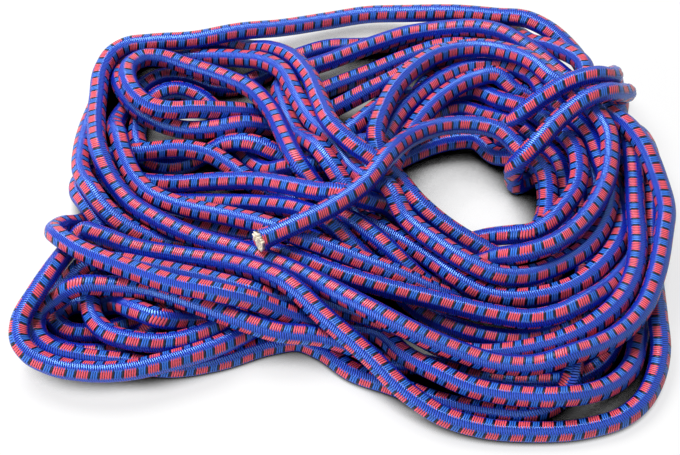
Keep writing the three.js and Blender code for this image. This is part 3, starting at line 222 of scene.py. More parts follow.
        268, 205, 1.8,  288, 208, 1.9,  306, 213, 1.8,  322, 221, 1.5,  337, 231, 1.2,
        353, 243, 1,  368, 258, 0.8,  383, 275, 0.7,  399, 292, 0.8,  415, 307, 1,  432, 318, 1.3,
        452, 326.5, 1.5,  473, 333.5, 1.5,  497, 338.5, 1.4,  520, 340.5, 1.3,  543, 339, 1,
        565, 333, 0.8,  586, 321, 0.6,  602, 303, 0.5,  612, 281, 0.5,  617, 256, 0.5,
        618, 231, 0.5,  615, 206, 0.6,  608, 181, 0.8,  599, 157, 1.1,  588, 135, 1.3,
    ],
    "turn_11": [
        574, 117, 1.5,  559, 104, 1.6,  543, 97, 1.7,  531, 98, 2,  523, 90, 2.3,  509, 81.5, 2.5,
        492, 78, 2.6,  473, 80, 2.6,  455, 88, 2.6,  438, 99, 2.6,  424, 112, 2.5,  411, 126, 2.3,
        398, 141, 2,  386, 157, 1.6,  375, 176, 1.1,  363, 196, 0.7,  349, 216, 0.5,
        333, 236, 0.4,  316, 256, 0.4,  296, 275, 0.4,  274, 291, 0.4,  250, 305, 0.4,
        228, 313, 0.5,  208, 318, 0.6,  190, 320.5, 0.6,  168, 322.5, 0.6,  146, 321, 0.6,
        125, 309, 0.5,  105, 303, 0.5,  87, 300, 0.4,  70, 303, 0.4,  59, 312, 0.4,  54, 325, 0.4,
        62, 333, 0.4,  77, 335, 0.4,  97, 334, 0.4,  120, 331, 0.4,  145, 331, 0.4,  170, 332, 0.4,
        195, 326, 0.4,  220, 314, 0.4,  245, 299, 0.4,  268, 281, 0.4,  288, 261, 0.4,
        306, 241, 0.4,  322, 221, 0.4,  338, 201, 0.4,  354, 182, 0.5,  372, 164, 0.6,
        392, 147, 0.7,  413, 131, 0.8,  436, 118, 0.8,  460, 111, 0.9,  485, 113, 1,  510, 122, 1,
        533, 134, 1,
    ],
    "turn_12": [
        552, 147, 1,  567, 166, 0.9,  578, 187, 0.8,  586, 211, 0.6,  590, 236, 0.5,
        590, 262, 0.5,  588, 288, 0.5,  584, 314, 0.5,  580, 339, 0.5,  577, 362, 0.5,
        573, 383, 0.4,  565, 400, 0.4,  550, 411, 0.4,  527, 415, 0.4,  503, 414, 0.4,
        478, 410.5, 0.4,  450, 405, 0.4,  425, 397, 0.4,  400, 386, 0.5,  378, 375.5, 0.6,
        358, 363.5, 0.6,  340, 353.5, 0.6,  320, 344.5, 0.6,  303, 340, 0.6,  290, 339, 0.6,
        277, 342, 0.6,  256, 348, 0.6,  235, 355, 0.6,  213, 361, 0.5,  190, 366, 0.5,
        165, 368, 0.5,  140, 365, 0.5,  115, 360, 0.6,  93, 358, 0.8,  75, 356.5, 0.9,  58, 353, 1,
        44, 346, 1,  36, 335, 1,  34, 322, 1,  37, 310, 1.1,  46, 300, 1.2,  59, 294.5, 1.3,
        77, 290.5, 1.4,  98, 288.5, 1.4,  120, 288, 1.4,  142, 291, 1.4,  163, 297, 1.4,
        185, 304, 1.4,  207, 310, 1.4,  228, 315.5, 1.4,  250, 321, 1.4,  270, 326, 1.3,
        291, 331, 1.2,  310, 334, 1.1,  330, 339, 1,  350, 344, 0.9,  375, 349, 0.8,
        400, 355, 0.7,  425, 363, 0.5,  455, 373, 0.4,  485, 379, 0.4,  517, 383, 0.4,
        550, 381.5, 0.4,  580, 374, 0.4,  603, 360, 0.4,  617, 339, 0.4,  624, 314, 0.4,
        627, 286, 0.4,  628, 258, 0.4,  624, 230, 0.4,  617, 202, 0.5,  607, 175, 0.6,
        598, 150, 0.8,
    ],
    "turn_13": [
        583, 128, 0.9,  565, 110, 0.9,  545, 95, 0.9,  522, 84, 0.8,  497, 78, 0.7,  470, 78, 0.6,
        445, 84, 0.6,  423, 96, 0.6,  404, 111, 0.6,  387, 129, 0.5,  371, 148, 0.4,
        355, 168, 0.4,  340, 188, 0.4,  325, 208, 0.4,  309, 228, 0.4,  291, 248, 0.4,
        272, 267, 0.4,  251, 284, 0.4,  228, 299, 0.4,  204, 312, 0.4,  180, 325, 0.4,
        158, 338, 0.4,  138, 350, 0.4,  115, 357, 0.4,  90, 358, 0.4,  66, 354, 0.4,  46, 343, 0.5,
        34, 328, 0.5,  32, 311, 0.6,  37, 297, 0.7,  45, 287, 0.9,  56, 279.5, 1,  72, 274, 1.1,
        88, 270.5, 1,  108, 266, 1,  130, 264, 1.1,  153, 268, 1.2,  173, 273, 1.2,
        195, 277.5, 1.2,  216, 283, 1.2,  237, 289, 1.2,  258, 295, 1.1,  285, 300, 1,
        312, 305, 1,  338, 312, 1.1,  362, 322, 1.2,  388, 334, 1.2,  418, 345, 1.3,
        450, 352, 1.4,  480, 355, 1.5,  503, 353, 1.7,  522, 350, 1.9,  542, 346.5, 2,
        562, 340.5, 2.1,  583, 330, 2.2,  600, 317.5, 2.2,  614, 304, 2.3,  625, 289, 2.3,
        633, 273, 2.4,  637, 257, 2.4,  637.5, 240, 2.4,  636, 221, 2.4,  634, 202, 2.4,
        633, 183, 2.4,  631, 165, 2.4,  627, 147, 2.3,  620, 130, 2.2,
    ],
    "turn_14": [
        607, 113, 2.1,  592, 99, 2.2,  577, 88, 2.3,  563, 78, 2.4,  549, 65, 2.5,  534, 53, 2.5,
        519, 43, 2.4,  502, 35.5, 2.3,  481, 30, 2.2,  460, 29, 2.1,  440, 30, 2.1,
        420, 31.5, 2.1,  400, 36, 2,  380, 42, 2,  360, 50, 2,  340, 57.5, 2,  320, 64, 1.9,
        305, 69, 1.8,  291, 74, 1.6,  281, 83, 1.6,  280, 95, 1.7,  285, 107, 1.8,  292, 119, 1.9,
        300, 132, 1.9,  308, 144, 1.9,  317, 156, 1.9,  327, 169, 1.9,  339, 183, 1.7,
        352, 198, 1.4,  365, 212, 1.2,  380, 226, 1.2,  395, 239.5, 1.2,  409, 252, 1.2,
        424, 265, 1.2,  438, 276, 1.2,  455, 286, 1.3,  474, 293.5, 1.3,  497, 298, 1.3,
        520, 298.5, 1.4,  545, 296, 1.4,  567, 289.5, 1.4,  589, 279.5, 1.3,  606, 266, 1.2,
        617, 250, 1,  620, 233, 0.8,  619, 214, 0.6,  614, 195, 0.5,  605, 177, 0.5,
        596, 160, 0.5,  590, 144, 0.4,
    ],
    "tie_wraps": [
        592, 128, 0.2,  598, 119, 0.2,  601, 112, 0.5,  602, 103, 1.3,  603, 96, 2.6,
        601, 87, 3.6,  593, 84.5, 3.9,  584, 82.5, 4,  570, 86, 4,  556, 91.5, 4,  541, 99, 3.9,
        528, 109, 3.6,  516, 121, 3,  509, 131, 2,  511, 142, 1,  523, 147, 0.3,  543, 146, 0,
        563, 139, 0,  583, 131, 0,  596, 121, 0.3,  603, 114, 0.9,  607, 111, 2.1,  607, 105, 3.2,
        602, 101, 3.9,  594, 101.5, 4.1,  586, 103, 4.1,  571, 111, 4.1,  557, 121, 4.1,
        544, 135, 4,  532, 149, 3.7,  521, 160, 3,  514, 170, 2,  519, 177, 0.9,  532, 178, 0.3,
        546, 172, 0.1,
    ],
}


@dataclass(frozen=True)
class RopeSizes:
    """The rope's real sizes and the shares that steer its lie, as in the CAD source, in mm."""

    diameter: float = 8.0
    cover_wall: float = 0.9
    core_clearance: float = 0.3
    flat_share: float = 0.1
    turn_spacing_share: float = 1.15
    mesh_spacing_share: float = 1.11
    route_step_share: float = 0.5
    straight_end_share: float = 1.0
    chord_sag_share: float = 0.05
    shortest_step_share: float = 0.72
    longest_step_share: float = 2.9
    layer_share: float = 0.95
    sides: int = 6

    @property
    def radius(self) -> float:
        """Half of the rope's diameter."""
        return self.diameter / 2

    @property
    def bed_height(self) -> float:
        """Height of the centre of a turn that lies pressed on the ground."""
        return self.radius - self.diameter * self.flat_share


@dataclass(frozen=True)
class PhotoView:
    """The view that the route's points were taken in: lengths in mm, the rest in pixels."""

    distance: float = 720.0
    tilt_degrees: float = 50.0
    aim_height: float = 8.0
    focal_pixels: float = 1617.0
    width_pixels: float = 680.0
    centre_pixels: tuple[float, float] = (340.0, 227.5)
    hidden_pixels: float = 7.0

    @property
    def eye(self) -> np.ndarray:
        """The eye's place."""
        tilt = math.radians(self.tilt_degrees)
        height = self.aim_height + math.sin(tilt) * self.distance
        return np.array([0.0, -math.cos(tilt) * self.distance, height])

    @property
    def ahead(self) -> np.ndarray:
        """Unit vector from the eye towards what it looks at."""
        tilt = math.radians(self.tilt_degrees)
        return np.array([0.0, math.cos(tilt), -math.sin(tilt)])

    @property
    def upward(self) -> np.ndarray:
        """Unit vector that is up in the picture."""
        tilt = math.radians(self.tilt_degrees)
        return np.array([0.0, math.sin(tilt), math.cos(tilt)])

    def lift(self, pixels: np.ndarray, heights: np.ndarray) -> np.ndarray:
        """Finds the points at given heights that pixels show.

        Args:
            pixels: one row of two pixel coordinates for each point.
            heights: the points' heights.

        Returns:
            One row of x, y, z for each point: the eye plus the sight line, scaled to the height.
        """
        across = pixels[:, :1] - self.centre_pixels[0]
        rise = self.centre_pixels[1] - pixels[:, 1:2]
        line = self.ahead * self.focal_pixels + X * across + self.upward * rise
        return self.eye + line * ((self.eye[2] - heights) / -line[:, 2])[:, None]

    def picture(self, points: np.ndarray) -> np.ndarray:
        """Gives the pixels that show points, one row of two for each."""
        offset = points - self.eye
        scale = self.focal_pixels / (offset @ self.ahead)
        across = self.centre_pixels[0] + offset[:, 0] * scale
        down = self.centre_pixels[1] - (offset @ self.upward) * scale
        return np.stack([across, down], 1)


def lengths(vectors: np.ndarray) -> np.ndarray:
    """Length of each row."""
    return np.sqrt((vectors * vectors).sum(1))


def units(vectors: np.ndarray) -> np.ndarray:
    """Each row scaled to length one."""
    return vectors / lengths(vectors)[:, None]


def smoothed(values: np.ndarray, share: float) -> np.ndarray:
    """Moves each inner row towards the mean of its two neighbours by a share."""
    out = values.copy()
    out[1:-1] = values[1:-1] + share * ((values[:-2] + values[2:]) / 2 - values[1:-1])
    return out


def hermite(knots: np.ndarray, count: int) -> tuple[np.ndarray, np.ndarray]:
    """Runs a smooth curve through knots and cuts it into even steps.

    Between two knots it is the cubic with their two slopes; a knot's slope is the mean of the
    slopes on its two sides, each weighted by the other side's length.

    Args:
        knots: the points that the curve passes, one row each.
        count: the number of steps.

    Returns:
        The curve's points, and for each the number of the knot before it.
    """
    along = np.r_[0.0, np.cumsum(lengths(np.diff(knots, axis=0)))]
    span = np.diff(along)[:, None]
    lean = np.diff(knots, axis=0) / span
    slope = np.zeros_like(knots)
    slope[0], slope[-1] = lean[0], lean[-1]
    slope[1:-1] = (lean[:-1] * span[1:] + lean[1:] * span[:-1]) / (span[:-1] + span[1:])
    at = along[-1] * np.arange(count + 1) / count
    knot = np.clip(np.searchsorted(along, at, side="right") - 1, 0, len(knots) - 2)
    reach = (along[knot + 1] - along[knot])[:, None]
    t = (at - along[knot])[:, None] / reach
    curve = (
        knots[knot] * (2 * t**3 - 3 * t**2 + 1)
        + slope[knot] * (t**3 - 2 * t**2 + t) * reach
        + knots[knot + 1] * (3 * t**2 - 2 * t**3)
        + slope[knot + 1] * (t**3 - t**2) * reach
    )
    return curve, knot


@dataclass(frozen=True)
class Settling:
    """How turns find room, the same steering as in the CAD source.

    Shares are of the rope's diameter, of the turns' spacing or of a whole move. A name with from
    gives the share of all rounds at which a rule starts, and one with between where it starts
    and ends.
    """

    rounds: int = 900
    refresh_rounds: int = 5
    neighbour_steps: int = 6
    pull_share: float = 0.1
    loosened_from: tuple[float, float] = (0.6, 0.8)
    loosened_shares: tuple[float, float] = (0.2, 0.03)
    sag_per_round_share: float = 0.0075
    sag_between: tuple[float, float] = (0.15, 0.45)
    order_share: float = 0.19
    deep_share: float = 0.8
    close_share: float = 0.6
    flip_share: float = 0.35
    flip_from: float = 0.5
    stuck_share: float = 0.45
    stuck_from: float = 0.72
    reach_share: float = 0.5
    push_cap_share: float = 0.31
    crowd_share: float = 0.55
    search_share: float = 8.0
    lean_share: float = 0.22
    late_lean_share: float = 0.1
    late_lean_from: float = 0.7

    def hold(self, done: float) -> float:
        """Share of the pull to the sight lines that is left after a share of all rounds."""
        passed = sum(done >= start for start in self.loosened_from)
        return (1.0, *self.loosened_shares)[passed]


@dataclass
class RopeRoute:
    """Works out where the rope lies: from view points to settled turns, in mm."""

    sizes: RopeSizes = field(default_factory=RopeSizes)
    view: PhotoView = field(default_factory=PhotoView)
    settling: Settling = field(default_factory=Settling)
    even_rounds: int = 3
    even_share: float = 0.5
    hidden_neighbour_steps: int = 8
    hidden_pull_share: float = 0.004
    pull_blend_share: float = 2 / 3
    bend_steps: int = 2
    apart_share: float = 2.0
    part_rounds: int = 160
    part_refresh_rounds: int = 20
    part_push: float = 1.3
    part_slack_share: float = 1 / 400
    least_gap_share: float = 1 / 1000

    def even(self) -> tuple[np.ndarray, list[int]]:
        """Lifts the view points into space and cuts the curve through them into even steps.

        Returns:
            The steps, and the two steps where the hank's turns start and end.
        """
        size = self.sizes.diameter
        flat = [np.array(run, float).reshape(-1, 3) for run in ROUTE_RUNS.values()]
        ends = np.cumsum([len(run) for run in flat]) - 1
        rows = np.concatenate(flat)
        knots = self.view.lift(rows[:, :2], rows[:, 2] * size * self.sizes.layer_share)
        total = lengths(np.diff(knots, axis=0)).sum()
        count = int(math.floor(total / (size * self.sizes.route_step_share) + 0.5))
        points, knot = hermite(knots, count)
        joints = [int(np.argmax(knot >= ends[0])), int(np.argmax(knot >= ends[-2]))]
        for _ in range(self.even_rounds):
            points = smoothed(points, self.even_share)
        return points, joints

    def pulls(self, start: np.ndarray) -> np.ndarray:
        """How strongly each step keeps to its sight line: much less where a turn hides it."""
        picture = self.view.picture(start)
        first, second = np.triu_indices(len(start), self.hidden_neighbour_steps + 1)
        gap = picture[second] - picture[first]
        near = (gap * gap).sum(1) <= self.view.hidden_pixels**2
        first, second = first[near], second[near]
        pull = np.full(len(start), self.settling.pull_share)
        below = start[first, 2] < start[second, 2]
        above = start[second, 2] < start[first, 2]
        pull[first[below]] = self.hidden_pull_share
        pull[second[above]] = self.hidden_pull_share
        for _ in range(self.settling.neighbour_steps):
            pull = smoothed(pull, self.pull_blend_share)
        return pull

    def settle(self, start: np.ndarray) -> np.ndarray:
        """Lets the turns find room.

        Turns that cross part along the sight line in their own order, those beside each other
        part sideways, each step leans on its neighbours and keeps to its sight line, and nothing
        sinks below the ground.

        Args:
            start: the even steps.

        Returns:
            The settled steps.
        """
        rule = self.settling
        size = self.sizes.diameter
        spacing = size * self.sizes.turn_spacing_share
        count = len(start)
        pull = self.pulls(start)
        sight = units(start - self.view.eye)
        first, second = np.triu_indices(count, rule.neighbour_steps + 1)
        gap = start[second] - start[first]
        near = (gap * gap).sum(1) <= (rule.search_share * size) ** 2
        first, second = first[near], second[near]
        moved = np.zeros_like(start)
        now = start.copy()
        for step in range(rule.rounds):
            done = step / rule.rounds
            if step % rule.refresh_rounds == 0:
                gap = now[second] - now[first]
                near = (gap * gap).sum(1) <= (spacing + size * rule.reach_share) ** 2
                low, high = first[near], second[near]
            gap = now[high] - now[low]
            distance = lengths(gap)
            touch = distance < spacing
            a, b, gap, distance = low[touch], high[touch], gap[touch], distance[touch]
            line = units(sight[a] + sight[b])
            depth = (gap * line).sum(1)
            beside = lengths(gap - line * depth[:, None])
            first_gap = start[b] - start[a]
            ordered = np.abs(first_gap[:, 2]) > size * rule.order_share
            side = np.sign((first_gap * line).sum(1))
            side = np.where(ordered, -np.sign(first_gap[:, 2]), side)
            side[side == 0] = 1.0
            close = beside < rule.close_share * spacing
            deep = (beside < rule.deep_share * spacing) & (ordered | close)
            if done > rule.flip_from:
                passed = (depth * side < 0) & (np.abs(depth) > rule.flip_share * spacing)
                side = np.where(passed, -side, side)
            if done > rule.stuck_from:
                deep &= distance < rule.stuck_share * spacing
            wanted = np.sqrt(np.maximum(spacing**2 - beside**2, 0.0)) - depth * side
            along = side * np.minimum(wanted, size * rule.push_cap_share) / 2
            apart = (spacing - distance) / 2 / np.maximum(distance, size * self.least_gap_share)
            part = np.where(deep[:, None], line * along[:, None], gap * apart[:, None])
            both = np.r_[b, a]
            push = np.stack(
                [np.bincount(both, np.r_[part[:, c], -part[:, c]], count) for c in range(3)], 1
            )
            hits = np.bincount(both, minlength=count)
            moved += push / (1 + rule.crowd_share * np.maximum(hits - 1, 0))[:, None]
            late = done >= rule.late_lean_from
            moved = smoothed(moved, rule.late_lean_share if late else rule.lean_share)
            along_line = sight * (moved * sight).sum(1)[:, None]
            moved = along_line + (moved - along_line) * (1 - pull * rule.hold(done))[:, None]
            if rule.sag_between[0] < done < rule.sag_between[1]:
                moved[:, 2] -= size * rule.sag_per_round_share
            moved[:, 2] = np.maximum(moved[:, 2], self.sizes.bed_height - start[:, 2])
            now = start + moved
        return now

    def thin(self, points: np.ndarray, joints: list[int]) -> tuple[np.ndarray, list[int]]:
        """Keeps fewer steps: long ones on straight stretches, short ones in tight bends.

        Args:
            points: the settled steps.
            joints: the steps where the hank's turns start and end.

        Returns:
            The kept steps, and the joints' numbers among them.
        """
        size = self.sizes.diameter
        step = size * self.sizes.route_step_share
        shortest = size * self.sizes.shortest_step_share
        longest = size * self.sizes.longest_step_share
        last = len(points) - 1
        at = np.arange(last + 1)
        before = points - points[np.maximum(at - self.bend_steps, 0)]
        after = points[np.minimum(at + self.bend_steps, last)] - points
        before[0], after[-1] = before[1], after[-2]
        bend = lengths(units(after) - units(before)) / (self.bend_steps * step)
        # The chord of an arc of curvature k that sags by s is the root of 8 s / k.
        wanted = np.sqrt(8 * size * self.sizes.chord_sag_share / np.maximum(bend, TINY))
        length = np.clip(wanted, shortest, longest)
        fixed = [0, *joints, last]
        straight = size * self.sizes.straight_end_share
        kept, kept_joints, due = [0], [], 0.0
        for i in range(1, last + 1):
            due += step / length[i]
            beside = any(k != i and abs(k - i) * step <= straight for k in fixed)
            if (due >= 1 and not beside) or i in fixed:
                kept.append(i)
                due = 0.0
                if i in joints:
                    kept_joints.append(len(kept) - 1)
        return points[kept], kept_joints

    def stretch_pairs(self, points: np.ndarray, reach: float) -> tuple[np.ndarray, np.ndarray]:
        """Pairs of stretches that can touch: near in space, apart along the rope."""
        along = np.r_[0.0, np.cumsum(lengths(np.diff(points, axis=0)))]
        middle = (points[:-1] + points[1:]) / 2
        span = np.diff(along)
        a, b = np.triu_indices(len(middle), 2)
        keep = along[b] - along[a + 1] >= self.apart_share * self.sizes.diameter
        a, b = a[keep], b[keep]
        near = lengths(middle[a] - middle[b]) < reach + (span[a] + span[b]) / 2
        return a[near], b[near]

    def part_stretches(self, points: np.ndarray, joints: list[int]) -> np.ndarray:
        """Parts the straight stretches between kept steps, which cut the curve's corners.

        Args:
            points: the kept steps.
            joints: the steps that stay in line with their neighbours.

        Returns:
            The kept steps, moved apart.
        """
        size = self.sizes.diameter
        spacing = size * self.sizes.mesh_spacing_share
        points = points.copy()
        count = len(points)
        for step in range(self.part_rounds):
            if step % self.part_refresh_rounds == 0:
                i, j = self.stretch_pairs(points, spacing + self.sizes.radius)
            s, t, way = closest_approach(points[i], points[i + 1], points[j], points[j + 1])
            distance = np.maximum(lengths(way), size * self.least_gap_share)
            touch = distance < spacing
            worst = (spacing - distance).max()
            s, t, way, distance = s[touch], t[touch], way[touch], distance[touch]
            part = way * ((spacing - distance) / distance / 2)[:, None]
            ends = np.concatenate([i[touch], i[touch] + 1, j[touch], j[touch] + 1])
            share = np.concatenate([s - 1, -s, 1 - t, t])
            moves = np.tile(part, (4, 1)) * share[:, None] * self.part_push
            push = np.stack([np.bincount(ends, moves[:, c], count) for c in range(3)], 1)
            hits = np.bincount(ends, np.abs(share), count)
            points += push / np.maximum(hits, 1)[:, None]
            points[:, 2] = np.maximum(points[:, 2], self.sizes.bed_height)
            for joint in joints:
                points[joint] = (points[joint - 1] + points[joint + 1]) / 2
            if worst < size * self.part_slack_share:
                break
        return points

    def middle(self, points: np.ndarray) -> np.ndarray:
        """Centre of the swept rope's outline on the ground, which the frame puts at the origin."""
        at = np.arange(len(points))
        ahead = points[np.minimum(at + 1, at[-1])] - points[np.maximum(at - 1, 0)]
        ahead = units(ahead)
        sides = transported_sides(ahead)
        turn = 2 * math.pi * np.arange(self.sizes.sides) / self.sizes.sides
        ring = (
            sides[:, None] * np.cos(turn)[None, :, None]
            + np.cross(ahead, sides)[:, None] * np.sin(turn)[None, :, None]
        )
        corners = (points[:, None] + ring * self.sizes.radius).reshape(-1, 3)
        return (corners.min(0) + corners.max(0)) / 2 * (X + Y)


def closest_approach(
    a0: np.ndarray, a1: np.ndarray, b0: np.ndarray, b1: np.ndarray
) -> tuple[np.ndarray, np.ndarray, np.ndarray]:
    """Where straight stretches come closest, row by row.

    Args:
        a0: starts of the first stretches.
        a1: ends of the first stretches.
        b0: starts of the second stretches.
        b1: ends of the second stretches.

    Returns:
        The share along the first, the share along the second, and the way between them.
    """
    along_a, along_b, between = a1 - a0, b1 - b0, a0 - b0
    aa, bb, ab = (along_a**2).sum(1), (along_b**2).sum(1), (along_a * along_b).sum(1)
    aw, bw = (along_a * between).sum(1), (along_b * between).sum(1)
    flat = aa * bb - ab * ab
    parallel_share = 1e-9
    skew = flat > parallel_share * aa * bb
    s = np.where(skew, np.clip((ab * bw - bb * aw) / np.where(skew, flat, 1.0), 0, 1), 0.5)
    t = np.clip((ab * s + bw) / bb, 0, 1)
    s = np.clip((ab * t - aw) / aa, 0, 1)
    return s, t, (b0 + along_b * t[:, None]) - (a0 + along_a * s[:, None])


def transported_sides(ahead: np.ndarray) -> np.ndarray:
    """Side vectors carried along a path with no spin: each is the last one, less its part ahead.

    Args:
        ahead: unit vectors along the path.

    Returns:
        One unit vector for each, square to it.
    """
    side = np.cross(ahead[0], Z)
    out = np.empty_like(ahead)
    for i, along in enumerate(ahead):
        side = side - along * (side @ along)
        side = side / math.sqrt(side @ side)
        out[i] = side
    return out


def linear(hex_colour: str) -> tuple[float, float, float, float]:
    """Turns an sRGB hex colour into linear light, with full alpha."""
    parts = [int(hex_colour[i : i + 2], 16) / 255 for i in (1, 3, 5)]
    light = [c / 12.92 if c <= 0.04045 else ((c + 0.055) / 1.055) ** 2.4 for c in parts]
    return (light[0], light[1], light[2], 1.0)


def add(
    tree: Tree, kind: str, inputs: dict, output: int | str = 0, **settings: object
) -> Socket | bpy.types.Node:
    """Adds one node with its settings and links.

    Args:
        tree: the material's node tree.
        kind: the node's type name.
        inputs: sockets by name or number, each a plain value or another node's output.
        output: the output to hand on.
        **settings: the node's own properties.

    Returns:
        The chosen output socket, or the node where it has none.
    """
    made = tree.nodes.new(kind)
    for name, value in settings.items():
        setattr(made, name, value)
    for name, value in inputs.items():
        if isinstance(value, Socket):
            tree.links.new(value, made.inputs[name])
        else:
            made.inputs[name].default_value = value
    return made.outputs[output] if len(made.outputs) else made


def new_material(name: str) -> bpy.types.Material:
    """Makes an empty node material."""
    made = bpy.data.materials.new(name)
    made.use_nodes = True
    made.node_tree.nodes.clear()
    return made


@dataclass(frozen=True)
class BraidedPolyester:
    """Braided polyester cover: silky filament yarns, eight bands round the rope.

    Plain royal blue bands lie between tracer bands, whose yarns repeat red, black, light blue,
    black. The yarns lie almost across the rope and interlock in teeth where two bands meet.
    The eye gets a satin gleam, light blue along the top, and dark lines between the yarns,
    which are painted shade.
    Lengths are in mm. A pair gives the least and the most of a tone, or of what sets it.

    Its UV map, named braid, counts yarns along the rope and bands round it.
    """

    bands: int = 8
    yarn_pitch: float = 0.95
    slant_yarns: float = 0.5
    crest_power: float = 4.0
    tooth_share: float = 0.22
    red_yarns: int = 5
    light_yarns: int = 3
    swell_power: float = 0.45
    swell_share: float = 0.6
    filaments_per_yarn: float = 7.0
    filaments_per_band: float = 1.6
    filament_detail: float = 2.0
    filament_range: tuple[float, float] = (0.3, 0.7)
    filament_tones: tuple[float, float] = (0.88, 1.14)
    filament_relief_share: float = 0.12
    yarn_tones: tuple[float, float] = (0.90, 1.08)
    # Heights over which the painted shade between the yarns fades from the gap colour to none.
    gap_shade_heights: tuple[float, float] = (0.36, 0.82)
    blue: str = "#1430CC"
    red: str = "#FF5F70"
    black: str = "#06061C"
    light_blue: str = "#347AE8"
    # Painted shade: the dark colour that the gaps between the yarns are painted with.
    gap: str = "#10103A"
    blue_gleam: str = "#86BCFF"
    tracer_gleam: str = "#D4E2FF"
    roughness: float = 0.25
    refraction: float = 1.9
    blue_shine: float = 1.0
    tracer_shine: float = 0.22
    relief_depth: float = 0.28

    @property
    def repeat(self) -> int:
        """Yarns in one colour repeat of a tracer band."""
        return self.red_yarns + self.light_yarns + 2

    def weave(self, tree: Tree, along: Socket, around: Socket) -> tuple[Socket, Socket, Socket]:
        """Finds the band: a zigzag, which is strongest where bands meet, makes its teeth.

        Args:
            tree: the material's node tree.
            along: yarns along the rope.
            around: bands round the rope.

        Returns:
            The band's number, the share across it, and one in tracer bands, nothing in blue ones.
        """
        half_slant = self.slant_yarns / 2
        tooth = self.tooth_share
        turned = add(tree, MATHS, {0: around, 1: math.pi, 2: math.pi}, operation="MULTIPLY_ADD")
        meeting = add(tree, MATHS, {0: turned}, operation="COSINE")
        phase = add(tree, MATHS, {0: meeting, 1: -half_slant, 2: along}, operation="MULTIPLY_ADD")
        zigzag = add(tree, MATHS, {0: phase, 1: 0.5}, operation="PINGPONG")
        teeth = add(tree, MATHS, {0: zigzag, 1: -4 * tooth, 2: tooth}, operation="MULTIPLY_ADD")
        shifted = add(tree, MATHS, {0: teeth, 1: meeting, 2: around}, operation="MULTIPLY_ADD")
        band = add(tree, MATHS, {0: shifted}, operation="FLOOR")
        across = add(tree, MATHS, {0: shifted}, operation="FRACT")
        tracer = add(tree, MATHS, {0: band, 1: 2.0}, operation="MODULO")
        return band, across, tracer

    def yarns(self, tree: Tree, along: Socket, across: Socket, tracer: Socket) -> tuple[Socket, ...]:
        """Counts the yarns: in tracer bands they lean the other way and lie half a yarn on.

        So they pass between their neighbours. For a yarn's number two repeats are added to the
        count, which keeps it above nothing at the cut end.

        Args:
            tree: the material's node tree.
            along: yarns along the rope.
            across: the share across the band.
            tracer: one in tracer bands.

        Returns:
            The count without them, the yarn's number, and the share across the yarn.
        """
        slant = self.slant_yarns
        slope = add(tree, MATHS, {0: tracer, 1: 2 * slant, 2: -slant}, operation="MULTIPLY_ADD")
        off_middle = add(tree, MATHS, {0: across, 1: 0.5}, operation="SUBTRACT")
        leaned = add(tree, MATHS, {0: slope, 1: off_middle, 2: along}, operation="MULTIPLY_ADD")
        yarn = add(tree, MATHS, {0: tracer, 1: 0.5, 2: leaned}, operation="MULTIPLY_ADD")
        counted = add(tree, MATHS, {0: yarn, 1: 2.0 * self.repeat}, operation="ADD")
        number = add(tree, MATHS, {0: counted}, operation="FLOOR")
        in_yarn = add(tree, MATHS, {0: counted}, operation="FRACT")
        return yarn, number, in_yarn

    def tracer_colour(self, tree: Tree, band: Socket, number: Socket) -> Socket:
        """Picks a tracer yarn's colour by its number; each band's repeat starts at another yarn.

        Args:
            tree: the material's node tree.
            band: the band's number.
            number: the yarn's number.

        Returns:
            The colour.
        """
        repeat = self.repeat
        advance = add(tree, MATHS, {0: band, 1: repeat / self.bands}, operation="MULTIPLY")
        stepped = add(tree, MATHS, {0: advance}, operation="FLOOR")
        coded = add(tree, MATHS, {0: number, 1: stepped}, operation="ADD")
        place = add(tree, MATHS, {0: coded, 1: float(repeat)}, operation="MODULO")
        share = add(tree, MATHS, {0: place, 1: 1 / repeat, 2: 0.5 / repeat}, operation="MULTIPLY_ADD")
        colour = add(tree, "ShaderNodeValToRGB", {0: share})
        ramp = colour.node.color_ramp
        ramp.interpolation = "CONSTANT"
        stops = (
            (0.0, self.red),
            (self.red_yarns / repeat, self.black),
            ((self.red_yarns + 1) / repeat, self.light_blue),
            ((repeat - 1) / repeat, self.black),
        )
        for extra in stops[2:]:
            ramp.elements.new(extra[0])
        for element, (start, shade) in zip(ramp.elements, stops):
            element.position = start
            element.color = linear(shade)
        return colour

    def height(self, tree: Tree, across: Socket, in_yarn: Socket) -> Socket:
        """Gives the yarn its height: round across itself, and lower where it dives at its ends.

        Across the yarn it is one less a power of the distance from the crest. Along it, a share
        of it swells as a power of a sine.

        Args:
            tree: the material's node tree.
            across: the share across the band.
            in_yarn: the share across the yarn.

        Returns:
            The height, one at most.
        """
        off_crest = add(tree, MATHS, {0: in_yarn, 1: 2.0, 2: -1.0}, operation="MULTIPLY_ADD")
        aside = add(tree, MATHS, {0: off_crest}, operation="ABSOLUTE")
        fall = add(tree, MATHS, {0: aside, 1: self.crest_power}, operation="POWER")
        ridge = add(tree, MATHS, {0: 1.0, 1: fall}, operation="SUBTRACT")
        bow = add(tree, MATHS, {0: across, 1: math.pi}, operation="MULTIPLY")
        bowed = add(tree, MATHS, {0: bow}, operation="SINE")
        swell = add(tree, MATHS, {0: bowed, 1: self.swell_power}, operation="POWER")
        body = add(
            tree,
            MATHS,
            {0: swell, 1: self.swell_share, 2: 1 - self.swell_share},
            operation="MULTIPLY_ADD",
        )
        return add(tree, MATHS, {0: ridge, 1: body}, operation="MULTIPLY")

